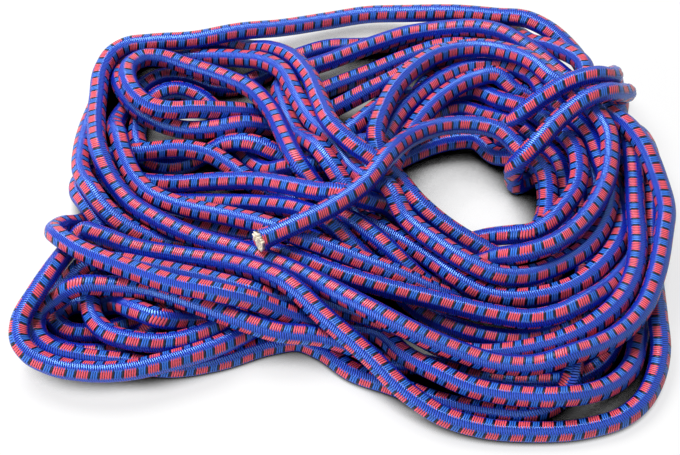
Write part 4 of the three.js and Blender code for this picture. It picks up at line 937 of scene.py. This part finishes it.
    def filaments(self, tree: Tree, yarn: Socket, around: Socket) -> Socket:
        """Draws filaments in each yarn, stretched along it.

        Real ones are much finer, and these are drawn as coarse as they need to show.

        Args:
            tree: the material's node tree.
            yarn: the yarn count.
            around: bands round the rope.

        Returns:
            A noise between nothing and one.
        """
        place = add(tree, "ShaderNodeCombineXYZ", {0: yarn, 1: around})
        stretch = (self.filaments_per_yarn, self.filaments_per_band, 1.0)
        stretched = add(tree, VECTOR_MATHS, {0: place, 1: stretch}, operation="MULTIPLY")
        return add(
            tree,
            "ShaderNodeTexNoise",
            {"Vector": stretched, "Scale": 1.0, "Detail": self.filament_detail},
        )

    def tone(self, tree: Tree, band: Socket, number: Socket, filaments: Socket) -> Socket:
        """Makes some yarns and filaments a little darker or lighter than others.

        Args:
            tree: the material's node tree.
            band: the band's number.
            number: the yarn's number.
            filaments: the filaments' noise.

        Returns:
            A factor for the colour.
        """
        one_of = add(tree, MATHS, {0: band, 1: float(self.bands)}, operation="MODULO")
        odd_yarn = add(tree, "ShaderNodeCombineXYZ", {0: number, 1: one_of})
        chance = add(tree, "ShaderNodeTexWhiteNoise", {"Vector": odd_yarn}, "Value")
        dark, light = self.yarn_tones
        even_tone = add(tree, MAP_RANGE, {"Value": chance, "To Min": dark, "To Max": light})
        low, high = self.filament_range
        dark, light = self.filament_tones
        silk = add(
            tree,
            MAP_RANGE,
            {"Value": filaments, "From Min": low, "From Max": high, "To Min": dark, "To Max": light},
        )
        return add(tree, MATHS, {0: even_tone, 1: silk}, operation="MULTIPLY")

    def material(self) -> bpy.types.Material:
        """Builds the cover's material.

        The yarn's height gives the bump, and paints shade into the gap beside it, where the colour
        goes dark. Blue and tracer yarns differ in gleam, and there is none in the gaps.

        Returns:
            The material.
        """
        made = new_material("braided_polyester")
        tree = made.node_tree
        uv = add(tree, "ShaderNodeUVMap", {}, uv_map="braid")
        along = add(tree, "ShaderNodeSeparateXYZ", {0: uv}, "X")
        around = add(tree, "ShaderNodeSeparateXYZ", {0: uv}, "Y")
        band, across, tracer = self.weave(tree, along, around)
        yarn, number, in_yarn = self.yarns(tree, along, across, tracer)
        tracer_colour = self.tracer_colour(tree, band, number)
        height = self.height(tree, across, in_yarn)
        filaments = self.filaments(tree, yarn, around)
        tone = self.tone(tree, band, number, filaments)

        yarn_colour = add(
            tree, MIX, {0: tracer, 6: linear(self.blue), 7: tracer_colour}, 2, data_type="RGBA"
        )
        toned = add(tree, VECTOR_MATHS, {0: yarn_colour, "Scale": tone}, operation="SCALE")
        # Painted shade: where the yarn's height is low, between the yarns and at their dipping ends, the
        # colour goes towards the gap colour.
        low, high = self.gap_shade_heights
        depth = add(tree, MAP_RANGE, {"Value": height, "From Min": low, "From Max": high})
        painted_gap_shade = add(tree, MIX, {0: depth, 6: linear(self.gap), 7: WHITE}, 2, data_type="RGBA")
        colour = add(tree, VECTOR_MATHS, {0: toned, 1: painted_gap_shade}, operation="MULTIPLY")

        relief = add(
            tree, MATHS, {0: filaments, 1: self.filament_relief_share, 2: height}, operation="MULTIPLY_ADD"
        )
        bump = add(
            tree,
            "ShaderNodeBump",
            {"Height": relief, "Strength": 1.0, "Distance": self.relief_depth * MM},
        )
        shine = add(
            tree, MAP_RANGE, {"Value": tracer, "To Min": self.blue_shine, "To Max": self.tracer_shine}
        )
        open_shine = add(tree, MATHS, {0: shine, 1: depth}, operation="MULTIPLY")
        gleams = {0: tracer, 6: linear(self.blue_gleam), 7: linear(self.tracer_gleam)}
        gleam = add(tree, MIX, gleams, 2, data_type="RGBA")
        shader = add(
            tree,
            "ShaderNodeBsdfPrincipled",
            {
                "Base Color": colour,
                "Roughness": self.roughness,
                "IOR": self.refraction,
                "Specular IOR Level": open_shine,
                "Specular Tint": gleam,
                "Normal": bump,
            },
        )
        add(tree, "ShaderNodeOutputMaterial", {"Surface": shader})
        return made


@dataclass(frozen=True)
class NaturalRubber:
    """Natural latex rubber strand, extruded and dusted: matt and cream. Lengths are in mm."""

    colour: str = "#FFFBEC"
    shade: str = "#F4E6C2"
    roughness: float = 0.6
    patches_per_mm: float = 0.9
    patch_detail: float = 3.0
    relief_strength: float = 0.5
    relief_depth: float = 0.2

    def material(self) -> bpy.types.Material:
        """Builds the core's material: cream, darker in soft patches of a millimetre or so."""
        made = new_material("natural_rubber")
        tree = made.node_tree
        place = add(tree, "ShaderNodeTexCoord", {}, "Object")
        patches = add(
            tree,
            "ShaderNodeTexNoise",
            {
                "Vector": place,
                "Scale": self.patches_per_mm / MM,
                "Detail": self.patch_detail,
            },
        )
        shades = {0: patches, 6: linear(self.shade), 7: linear(self.colour)}
        colour = add(tree, MIX, shades, 2, data_type="RGBA")
        bump = add(
            tree,
            "ShaderNodeBump",
            {
                "Height": patches,
                "Strength": self.relief_strength,
                "Distance": self.relief_depth * MM,
            },
        )
        shader = add(
            tree,
            "ShaderNodeBsdfPrincipled",
            {"Base Color": colour, "Roughness": self.roughness, "Normal": bump},
        )
        add(tree, "ShaderNodeOutputMaterial", {"Surface": shader})
        return made


def mesh_object(
    name: str,
    points: np.ndarray,
    quads: np.ndarray,
    material: bpy.types.Material,
    corner_uv: np.ndarray | None = None,
) -> bpy.types.Object:
    """Puts whole arrays into a mesh and links its object, at the origin.

    Args:
        name: the piece's name.
        points: vertices in mm, one row each.
        quads: faces of four vertex numbers each.
        material: the finish.
        corner_uv: two numbers for each face corner, for the map named braid.

    Returns:
        The object.
    """
    mesh = bpy.data.meshes.new(name)
    mesh.vertices.add(len(points))
    mesh.vertices.foreach_set("co", (points * MM).astype(np.float32).ravel())
    mesh.loops.add(quads.size)
    mesh.loops.foreach_set("vertex_index", quads.astype(np.int32).ravel())
    mesh.polygons.add(len(quads))
    starts = np.arange(0, quads.size, quads.shape[1], dtype=np.int32)
    mesh.polygons.foreach_set("loop_start", starts)
    mesh.polygons.foreach_set("use_smooth", np.ones(len(quads), bool))
    if corner_uv is not None:
        layer = mesh.uv_layers.new(name="braid")
        layer.uv.foreach_set("vector", corner_uv.astype(np.float32).ravel())
    mesh.update(calc_edges=True)
    mesh.validate()
    mesh.materials.append(material)
    made = bpy.data.objects.new(name, mesh)
    bpy.context.scene.collection.objects.link(made)
    LOG.info("%s: %d faces of %s", name, len(quads), material.name)
    return made


def wrapped_quads(starts: np.ndarray, columns: int) -> np.ndarray:
    """Joins each ring of vertices to the next with faces, round a tube.

    Args:
        starts: the number of each ring's first vertex, less the tubes' last rings.
        columns: vertices in a ring.

    Returns:
        Four vertex numbers for each face.
    """
    column = np.arange(columns)
    after = (column + 1) % columns
    here, beside = starts + column, starts + after
    return np.stack([here, beside, beside + columns, here + columns], -1).reshape(-1, 4)


@dataclass(frozen=True)
class BraidLay:
    """How the braid lies along the rope after it was hanked by hand.

    Hanking twists the rope, so its tracer bands face another way from turn to turn. At a few
    places along the rope, in metres from the free end, the degrees give the angle from straight
    up to the middle of a tracer band, and between them it changes evenly. Both were chosen after
    looking at the photograph and measuring it. The colours come out a little longer
    where the rope was drawn tighter: the drawn share is how much, and the drawn metres are from
    one such place to the next. The repeat is in mm.
    """

    metres: tuple[float, ...] = (0.0, 0.6, 1.5, 3.0, 4.2, 4.8, 7.2, 10.1)
    degrees: tuple[float, ...] = (45.0, 50.0, -35.0, -60.0, -125.0, -215.0, -145.0, -220.0)
    repeat: float = 9.4
    drawn_share: float = 0.04
    drawn_metres: float = 1.9

    def roll(self, along: np.ndarray) -> np.ndarray:
        """Angle in radians from straight up to a tracer band, at distances along in mm."""
        return np.radians(np.interp(along * MM, self.metres, self.degrees))

    def repeats(self, along: np.ndarray) -> np.ndarray:
        """Colour repeats counted from the free end, at distances along the rope in mm."""
        wave = self.drawn_metres / (2 * math.pi)
        drawn = self.drawn_share * wave * (1 - np.cos(along * MM / wave))
        return (along - drawn / MM) / self.repeat


@dataclass
class RopeLine:
    """The rope's smooth centre line in mm, with the frame of vectors that its braid follows.

    Repeats count the braid's colour repeats from the free end to each ring. Where the rope is
    steep, up says little, so the direction up is averaged over the calm reach, and level
    stretches weigh more.
    """

    points: np.ndarray
    ring_step: float
    bands: int
    lay: BraidLay = field(default_factory=BraidLay)
    calm_reach: float = 40.0
    least_level: float = 0.02
    level_power: int = 4
    along: np.ndarray = field(init=False)
    ahead: np.ndarray = field(init=False)
    side: np.ndarray = field(init=False)
    repeats: np.ndarray = field(init=False)
    lift: np.ndarray = field(init=False)

    def __post_init__(self) -> None:
        """Works out distances along the line, directions, and the braid's lift and side."""
        self.along = np.r_[0.0, np.cumsum(lengths(np.diff(self.points, axis=0)))]
        self.ahead = units(np.gradient(self.points, axis=0))
        carried = transported_sides(self.ahead)
        other = np.cross(self.ahead, carried)
        level = np.sqrt(1 - self.ahead[:, 2] ** 2)
        up_turn = np.unwrap(np.arctan2(other[:, 2], carried[:, 2]))
        weight = np.clip(level, self.least_level, 1) ** self.level_power
        reach = max(int(self.calm_reach / self.ring_step), 1)
        window = np.hanning(2 * reach + 1)
        pad = np.pad(up_turn * weight, reach, mode="edge")
        pad_weight = np.pad(weight, reach, mode="edge")
        top = np.convolve(pad, window, "valid") / np.convolve(pad_weight, window, "valid")
        # One band back, because the lift is the middle of a blue band and the next is a tracer.
        roll = top + self.lay.roll(self.along) - math.tau / self.bands
        self.lift = carried * np.cos(roll)[:, None] + other * np.sin(roll)[:, None]
        self.side = np.cross(self.ahead, self.lift)
        self.repeats = self.lay.repeats(self.along)


@dataclass(frozen=True)
class ObliqueCut:
    """A cut made by eye, a little askew: its face leans up and to the front, by the slope.

    At the cut the cover is thinned to a share of its wall and opens by a share, the flare, and
    the core spreads by a factor. The reach, in mm, is how far into the rope the lean and the
    flare go.
    """

    lean: tuple[float, float, float] = (0.0, -0.64, 0.77)
    slope: float = 0.40
    reach: float = 9.0
    thinned: float = 0.25
    spread: float = 1.72
    flare: float = 0.2

    def setback(self, offsets: np.ndarray, along: np.ndarray | float) -> np.ndarray:
        """How far into the rope the cut moves what lies off its centre line.

        Args:
            offsets: vectors from the centre line, in mm.
            along: distances from the rope's end, in mm.

        Returns:
            Distances in mm, fading out with the distance from the end.
        """
        return self.slope * (offsets @ np.array(self.lean)) * self.fade(along)

    def fade(self, along: np.ndarray | float) -> np.ndarray:
        """One at the rope's end, falling to nothing at the reach."""
        return np.clip(1 - np.asarray(along) / self.reach, 0, 1)


@dataclass
class BraidedRun:
    """One run of the braided cover: a tube along part of the rope's line. Lengths are in mm."""

    name: str
    line: RopeLine
    first: int
    last: int
    finish: BraidedPolyester
    sizes: RopeSizes
    columns: int = 32
    bulge: float = 0.22
    bulge_power: float = 0.7
    outer_radius: float = 4.38
    cut: ObliqueCut | None = None

    def rings(self) -> tuple[np.ndarray, np.ndarray]:
        """Lists the run's rings along the line, and a scale for each.

        A cut end starts with three more: one inside the rope, then the wall's inner edge and its
        middle, so that the eye sees the cut wall. There the cover opens a little.

        Returns:
            The rings' numbers and their scales.
        """
        rings = np.arange(self.first, self.last + 1)
        scale = np.ones(len(rings))
        if self.cut:
            inner = 1 - self.sizes.cover_wall * self.cut.thinned / self.outer_radius
            rings = np.r_[[self.first + 2, self.first, self.first], rings]
            scale = np.r_[[inner, inner, (1 + inner) / 2], scale]
            scale = scale * (1 + self.cut.flare * self.cut.fade(self.line.along[rings]) ** 2)
        return rings, scale

    def corner_uv(self, yarns: np.ndarray, bands: np.ndarray) -> np.ndarray:
        """Works out the UV map: yarns along the rope, and bands round it.

        Args:
            yarns: the yarn count for each ring and column.
            bands: bands round the rope for each column.

        Returns:
            Two numbers for each face corner.
        """
        turned = np.roll(yarns, -1, 1)
        # Half a band on, so that the lift is the middle of a band.
        low = np.broadcast_to(bands, yarns[:-1].shape) + 0.5
        high = low + self.finish.bands / self.columns
        corners = [
            np.stack([yarns[:-1], low], -1),
            np.stack([turned[:-1], high], -1),
            np.stack([turned[1:], high], -1),
            np.stack([yarns[1:], low], -1),
        ]
        return np.stack(corners, 2).reshape(-1, 4, 2)

    def build(self, material: bpy.types.Material) -> bpy.types.Object:
        """Sweeps the cover's section along the run.

        The section is a circle on which each band bulges a little, so its radius is the outer
        radius less the bulge, times one less the bulge wave. Where the rope lies on the ground,
        the section is pressed flat there.

        Args:
            material: the cover's material.

        Returns:
            The tube's object.
        """
        rings, scale = self.rings()
        turn = 2 * math.pi * np.arange(self.columns) / self.columns
        bands = np.arange(self.columns) * self.finish.bands / self.columns
        wave = np.abs(np.sin(math.pi * bands)) ** self.bulge_power
        radius = self.outer_radius - self.bulge * (1 - wave)
        lift, side = self.line.lift[rings][:, None], self.line.side[rings][:, None]
        spokes = lift * np.cos(turn)[None, :, None] + side * np.sin(turn)[None, :, None]
        offsets = spokes * (scale[:, None] * radius)[..., None]
        yarns = np.repeat(self.line.repeats[rings][:, None], self.columns, 1) * self.finish.repeat
        if self.cut:
            back = self.cut.setback(offsets, self.line.along[rings][:, None])
            offsets = offsets + self.line.ahead[rings][:, None] * back[..., None]
            yarns = yarns + back / self.finish.yarn_pitch
        points = self.line.points[rings][:, None] + offsets
        points[..., 2] = np.maximum(points[..., 2], 0.0)
        ring = np.arange(len(rings) - 1)[:, None] * self.columns
        quads = wrapped_quads(ring, self.columns)
        uv = self.corner_uv(yarns, bands)
        return mesh_object(self.name, points.reshape(-1, 3), quads, material, uv)


@dataclass
class CutEnd:
    """A cut end of the rope: the core's strands, cut ragged, and the cover's frayed yarn tips.

    Lengths are in mm. Pairs are the least and the most of what a random draw gives.
    """

    name: str
    line: RopeLine
    at: int
    inward: int
    sizes: RopeSizes
    strand_rows: int = 3
    strand_sides: int = 10
    strand_fill_share: float = 0.58
    strand_widths: tuple[float, float] = (0.92, 1.05)
    scatter: float = 0.04
    depth: float = 5.0
    ragged: float = 0.45
    crown: float = 0.4
    stand_out: float = 0.7
    yarn_tips: int = 44
    tip_rings: int = 6
    tip_sides: int = 6
    tip_shift_share: float = 0.4
    tip_inset: float = 0.35
    tip_root: float = 0.7
    tip_radius: float = 0.16
    tip_widths: tuple[float, float] = (0.7, 1.3)
    tip_taper_share: float = 0.75
    tip_length: float = 1.5
    tip_lengths: tuple[float, float] = (0.35, 1.15)
    tip_flares: tuple[float, float] = (-0.55, 0.45)
    tip_hooks: tuple[float, float] = (-0.8, 0.8)
    tip_hook_power: float = 1.6
    tip_hook_share: float = 0.5
    cut: ObliqueCut | None = None
    seed: int = 11

    @property
    def core_radius(self) -> float:
        """Radius of the rubber core."""
        return self.sizes.radius - self.sizes.cover_wall - self.sizes.core_clearance

    def axes(self) -> tuple[np.ndarray, np.ndarray, np.ndarray, np.ndarray]:
        """The cut's centre, the direction out of the rope, and two vectors across it."""
        out = -self.line.ahead[self.at] * self.inward
        return self.line.points[self.at], out, self.line.lift[self.at], self.line.side[self.at]

    def setback(self, offsets: np.ndarray) -> np.ndarray:
        """How far into the rope an oblique cut moves each offset; nothing on a square cut."""
        return self.cut.setback(offsets, 0.0) if self.cut else np.zeros(len(offsets))

    def tubes(
        self, starts: np.ndarray, paths: np.ndarray, radii: np.ndarray, sides: int
    ) -> tuple[np.ndarray, np.ndarray]:
        """Sweeps many small tubes at once.

        Each ring is a circle of the ring's radius, across the cut's outward direction. A radius
        of nothing closes a tube.

        Args:
            starts: each tube's first centre.
            paths: for each tube and ring, the centre's offset from the start.
            radii: for each tube and ring, the radius.
            sides: sides of each tube.

        Returns:
            Vertices and quads.
        """
        _, _, lift, side = self.axes()
        turn = 2 * math.pi * np.arange(sides) / sides
        spoke = lift[None] * np.cos(turn)[:, None] + side[None] * np.sin(turn)[:, None]
        centres = (starts[:, None] + paths)[:, :, None]
        points = centres + spoke[None, None] * radii[:, :, None, None]
        tubes, rings = radii.shape
        tube = np.arange(tubes)[:, None, None] * rings
        quads = wrapped_quads((tube + np.arange(rings - 1)[None, :, None]) * sides, sides)
        return points.reshape(-1, 3), quads[:, ::-1] if self.inward > 0 else quads

    def core(self, material: bpy.types.Material) -> bpy.types.Object:
        """Builds the core's strands: hexagonal rows of round strands, each cut at its own length.

        The middle ones stand out most, by the crown. Towards the cut each strand moves away from
        the centre line and grows by the cut's spread, as the square of the way along.

        Args:
            material: the rubber.

        Returns:
            The core's object.
        """
        rng = np.random.default_rng(self.seed)
        centre, out, lift, side = self.axes()
        pitch = self.core_radius * 2 / (2 * self.strand_rows + 1)
        grid = np.arange(-self.strand_rows, self.strand_rows + 1)
        q, r = np.meshgrid(grid, grid)
        inside = np.abs(q + r) <= self.strand_rows
        x = pitch * (q + r / 2)[inside]
        y = pitch * (r * math.sqrt(3) / 2)[inside]
        reach = np.sqrt(x * x + y * y)
        x = x + rng.normal(0, self.scatter, x.size)
        y = y + rng.normal(0, self.scatter, y.size)
        proud = rng.uniform(-self.ragged, self.ragged, x.size)
        proud = proud + self.crown * (1 - reach / self.core_radius)
        offsets = lift * x[:, None] + side * y[:, None]
        proud = proud + self.stand_out - self.setback(offsets)
        starts = centre + offsets - out * self.depth
        # Shares of the way along a strand, and of its width there: straight, then rounded off.
        profile = np.array([0.0, 0.9, 0.975, 1.0, 1.0])
        width = np.array([1.0, 1.0, 0.97, 0.8, 0.0])
        travel = (self.depth + proud)[:, None] * profile[None]
        widths = rng.uniform(*self.strand_widths, x.size)
        radii = pitch * self.strand_fill_share * widths[:, None] * width[None]
        spread = (self.cut.spread if self.cut else 1.0) - 1
        paths = out * travel[..., None] + offsets[:, None] * (spread * profile**2)[None, :, None]
        radii = radii * (1 + spread * profile**2)
        points, quads = self.tubes(starts, paths, radii, self.strand_sides)
        return mesh_object(self.name, points, quads, material)

    def frayed_yarns(
        self, name: str, material: bpy.types.Material, finish: BraidedPolyester
    ) -> bpy.types.Object:
        """Builds the cover's loose yarn tips round the cut: short tapering hooks that lean out.

        Each tip runs straight out of the rope, leans away from it as the square of the way along,
        and hooks round it as a power. Its place round the rope and a random place in the colour
        repeat give its colour.

        Args:
            name: the piece's name.
            material: the cover's material.
            finish: the cover's finish, for its bands and repeat.

        Returns:
            The tips' object.
        """
        rng = np.random.default_rng(self.seed + 1)
        count = self.yarn_tips
        centre, out, lift, side = self.axes()
        shift = rng.uniform(-self.tip_shift_share, self.tip_shift_share, count)
        turn = 2 * math.pi * (np.arange(count) + shift) / count
        spoke = lift * np.cos(turn)[:, None] + side * np.sin(turn)[:, None]
        offsets = spoke * (self.sizes.radius - self.tip_inset)
        starts = centre + offsets - out * (self.tip_root + self.setback(offsets))[:, None]
        length = self.tip_length * rng.uniform(*self.tip_lengths, count)
        flare = rng.uniform(*self.tip_flares, count)
        t = np.linspace(0, 1, self.tip_rings)[None]
        around = np.cross(out, spoke) * rng.uniform(*self.tip_hooks, count)[:, None]
        hook = length[:, None] * t**self.tip_hook_power * self.tip_hook_share
        paths = (
            out * (length[:, None] * t)[..., None]
            + spoke[:, None] * ((flare * length)[:, None] * t**2)[..., None]
            + around[:, None] * hook[..., None]
        )
        widths = self.tip_radius * rng.uniform(*self.tip_widths, count)
        radii = widths[:, None] * (1 - self.tip_taper_share * t**2)
        points, quads = self.tubes(starts, paths, radii, self.tip_sides)
        corners = quads.size // count
        band = np.repeat(turn / (2 * math.pi) * finish.bands + 0.5, corners)
        yarn = np.repeat(rng.uniform(0, finish.repeat, count), corners)
        uv = np.stack([yarn, band], 1).reshape(-1, 4, 2)
        return mesh_object(name, points, quads, material, uv)


@dataclass(frozen=True)
class SoftLamp:
    """A square soft lamp that points at the hank. Lengths are in metres, the power in watts."""

    name: str
    place: tuple[float, float, float]
    size: float
    power: float
    aim: tuple[float, float, float] = (0.0, 0.0, 0.01)

    def hang(self) -> None:
        """Hangs the lamp at its place."""
        lamp = bpy.data.lights.new(self.name, "AREA")
        lamp.size = self.size
        lamp.energy = self.power
        made = bpy.data.objects.new(self.name, lamp)
        bpy.context.scene.collection.objects.link(made)
        made.location = self.place
        aim = Vector(self.aim) - made.location
        made.rotation_mode = "QUATERNION"
        made.rotation_quaternion = aim.to_track_quat("-Z", "Y")


@dataclass
class Studio:
    """A pale floor, a white world and soft lamps, and the camera at the photograph's angle.

    Lengths are in metres, apart from the camera's sensor and the middle, which are in mm. The
    floor's colour holds painted shade: it goes from black to white as the open share of the sky
    above it goes from dark open to light open. To the rays that show the background it glows in
    that tone, by the white share, painted shade included.
    """

    view: PhotoView
    middle: np.ndarray
    floor_size: float = 6.0
    floor_drop: float = 0.05 * MM
    shade_reach: float = 0.05
    shade_samples: int = 24
    dark_open: float = 0.26
    light_open: float = 0.54
    white_share: float = 0.78
    world_light: float = 0.15
    lamps: tuple[SoftLamp, ...] = (
        SoftLamp("top_softbox", (-0.36, 0.36, 1.0), 0.55, 14.0),
        SoftLamp("left_fill", (-1.0, -0.75, 0.45), 0.8, 8.0),
    )
    sensor_width: float = 36.0
    clip: tuple[float, float] = (0.05, 20.0)

    def build(self) -> None:
        """Makes the floor, the world, the lamps and the camera."""
        self.floor()
        self.world()
        for lamp in self.lamps:
            lamp.hang()
        self.camera()

    def floor(self) -> None:
        """A flat pale floor just under the rope, which catches its shadow and has painted shade in its
        colour near the rope.
        """
        made = new_material("board_with_painted_shade")
        tree = made.node_tree
        reach = {"Distance": self.shade_reach}
        # Painted shade: the floor's colour darkens with the ambient occlusion of the rope nearby, down to
        # black in the narrow gaps between turns.
        nearby = add(tree, "ShaderNodeAmbientOcclusion", reach, "AO", samples=self.shade_samples)
        opening = {"Value": nearby, "From Min": self.dark_open, "From Max": self.light_open}
        painted_shade_grey = add(tree, MAP_RANGE, opening)
        shade = add(tree, "ShaderNodeCombineColor", {0: painted_shade_grey, 1: painted_shade_grey, 2: painted_shade_grey})
        diffuse = add(tree, "ShaderNodeBsdfDiffuse", {"Color": shade})
        glow = add(tree, "ShaderNodeEmission", {"Color": shade, "Strength": 1.0})
        part = add(tree, MATHS, {0: self.seen(tree), 1: self.white_share}, operation="MULTIPLY")
        surface = add(tree, "ShaderNodeMixShader", {0: part, 1: diffuse, 2: glow})
        add(tree, "ShaderNodeOutputMaterial", {"Surface": surface})
        corners = np.array([[-1, -1, 0], [1, -1, 0], [1, 1, 0], [-1, 1, 0]])
        points = (corners * self.floor_size / 2 - Z * self.floor_drop) / MM
        mesh_object("studio_floor", points, np.array([[0, 1, 2, 3]]), made)

    def seen(self, tree: Tree) -> Socket:
        """One for rays that show the background: from the camera, a mirror or clear glass."""
        camera = add(tree, "ShaderNodeLightPath", {}, "Is Camera Ray")
        mirror = add(tree, "ShaderNodeLightPath", {}, "Is Glossy Ray")
        glass = add(tree, "ShaderNodeLightPath", {}, "Is Transmission Ray")
        either = add(tree, MATHS, {0: camera, 1: mirror}, operation="MAXIMUM")
        return add(tree, MATHS, {0: either, 1: glass}, operation="MAXIMUM")

    def world(self) -> None:
        """An even white world: soft light from everywhere, white where the background shows."""
        world = bpy.data.worlds.new("studio_white")
        bpy.context.scene.world = world
        world.use_nodes = True
        tree = world.node_tree
        tree.nodes.clear()
        levels = {"Value": self.seen(tree), "To Min": self.world_light, "To Max": 1.0}
        strength = add(tree, MAP_RANGE, levels)
        light = add(tree, "ShaderNodeBackground", {"Color": WHITE, "Strength": strength})
        add(tree, "ShaderNodeOutputWorld", {"Surface": light})

    def camera(self) -> None:
        """Puts the camera at the view's eye, with the photograph's field of view."""
        data = bpy.data.cameras.new("photo_camera")
        data.sensor_width = self.sensor_width
        data.lens = data.sensor_width * self.view.focal_pixels / self.view.width_pixels
        data.clip_start, data.clip_end = self.clip
        made = bpy.data.objects.new("photo_camera", data)
        bpy.context.scene.collection.objects.link(made)
        made.location = (self.view.eye - self.middle) * MM
        made.rotation_mode = "QUATERNION"
        made.rotation_quaternion = Vector(self.view.ahead).to_track_quat("-Z", "Y")
        bpy.context.scene.camera = made


class Stretch(Enum):
    """The rope's three stretches, by the CAD node that each stands for."""

    FREE_END = "free_end_cover"
    HANK = "hank_turns"
    TIE = "tie_wraps"


@dataclass
class ElasticRope:
    """The whole rope: its route, the runs of braided cover, the core and the cut ends.

    The ring step and the middle, which is where the route has the frame's origin, are in mm.
    """

    sizes: RopeSizes = field(default_factory=RopeSizes)
    route: RopeRoute = field(default_factory=RopeRoute)
    cover: BraidedPolyester = field(default_factory=BraidedPolyester)
    rubber: NaturalRubber = field(default_factory=NaturalRubber)
    ring_step: float = 1.5
    hank_pieces: int = 14
    tucked_seed: int = 23
    middle: np.ndarray = field(init=False)

    def lay(self) -> tuple[RopeLine, int, int]:
        """Works out the rope's line, centred as the frame is.

        Returns:
            The line, and the rings where the hank's turns start and end.
        """
        start, joints = self.route.even()
        settled = self.route.settle(start)
        thin, joints = self.route.thin(settled, joints)
        kept = self.route.part_stretches(thin, joints)
        self.middle = self.route.middle(kept)
        kept = kept - self.middle
        total = lengths(np.diff(kept, axis=0)).sum()
        points, knot = hermite(kept, int(total / self.ring_step))
        line = RopeLine(points, self.ring_step, self.cover.bands)
        LOG.info("rope %.2f m, %d kept steps, %d rings", total * MM, len(kept), len(points))
        return line, int(np.argmax(knot >= joints[0])), int(np.argmax(knot >= joints[1]))

    def declare(
        self,
        piece: bpy.types.Object,
        stretch: Stretch,
    ) -> None:
        """Rides a run on the rope's body, and hides the CAD part that it stands for.

        Args:
            piece: the run's object.
            stretch: which stretch it belongs to.
        """
        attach(piece, "root")
        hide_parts(stretch.value)

    def build(self) -> None:
        """Builds every piece, rides each on the rope's body, and hides the CAD parts that they replace."""
        line, hank_start, tie_start = self.lay()
        braid = self.cover.material()
        rubber = self.rubber.material()
        last = len(line.points) - 1

        askew = ObliqueCut()
        end = CutEnd("free_end_strands", line, 0, 1, self.sizes, cut=askew)
        core = end.core(rubber)
        fray = end.frayed_yarns("free_end_frayed_yarns", braid, self.cover)
        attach(core, "root")
        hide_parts("free_end_core")
        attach(fray, "root")
        free = BraidedRun("free_end_braid", line, 0, hank_start, self.cover, self.sizes, cut=askew)
        self.declare(free.build(braid), Stretch.FREE_END)

        cuts = np.linspace(hank_start, tie_start, self.hank_pieces + 1).round().astype(int)
        for number, (first, final) in enumerate(zip(cuts[:-1], cuts[1:]), 1):
            name = f"hank_run_{number:02d}"
            run = BraidedRun(name, line, int(first), int(final), self.cover, self.sizes)
            self.declare(run.build(braid), Stretch.HANK)

        tucked = CutEnd("tucked_end_strands", line, last, -1, self.sizes, seed=self.tucked_seed)
        tucked_core = tucked.core(rubber)
        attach(tucked_core, "root")
        tie = BraidedRun("tie_braid", line, tie_start, last, self.cover, self.sizes)
        self.declare(tie.build(braid), Stretch.TIE)


def main() -> None:
    """Builds the rope and its studio, in order."""
    logging.basicConfig(level=logging.INFO, format="%(name)s: %(message)s")
    bpy.context.scene.view_settings.view_transform = "Standard"
    rope = ElasticRope()
    rope.build()
    Studio(rope.route.view, rope.middle).build()


if __name__ == "__main__":
    main()
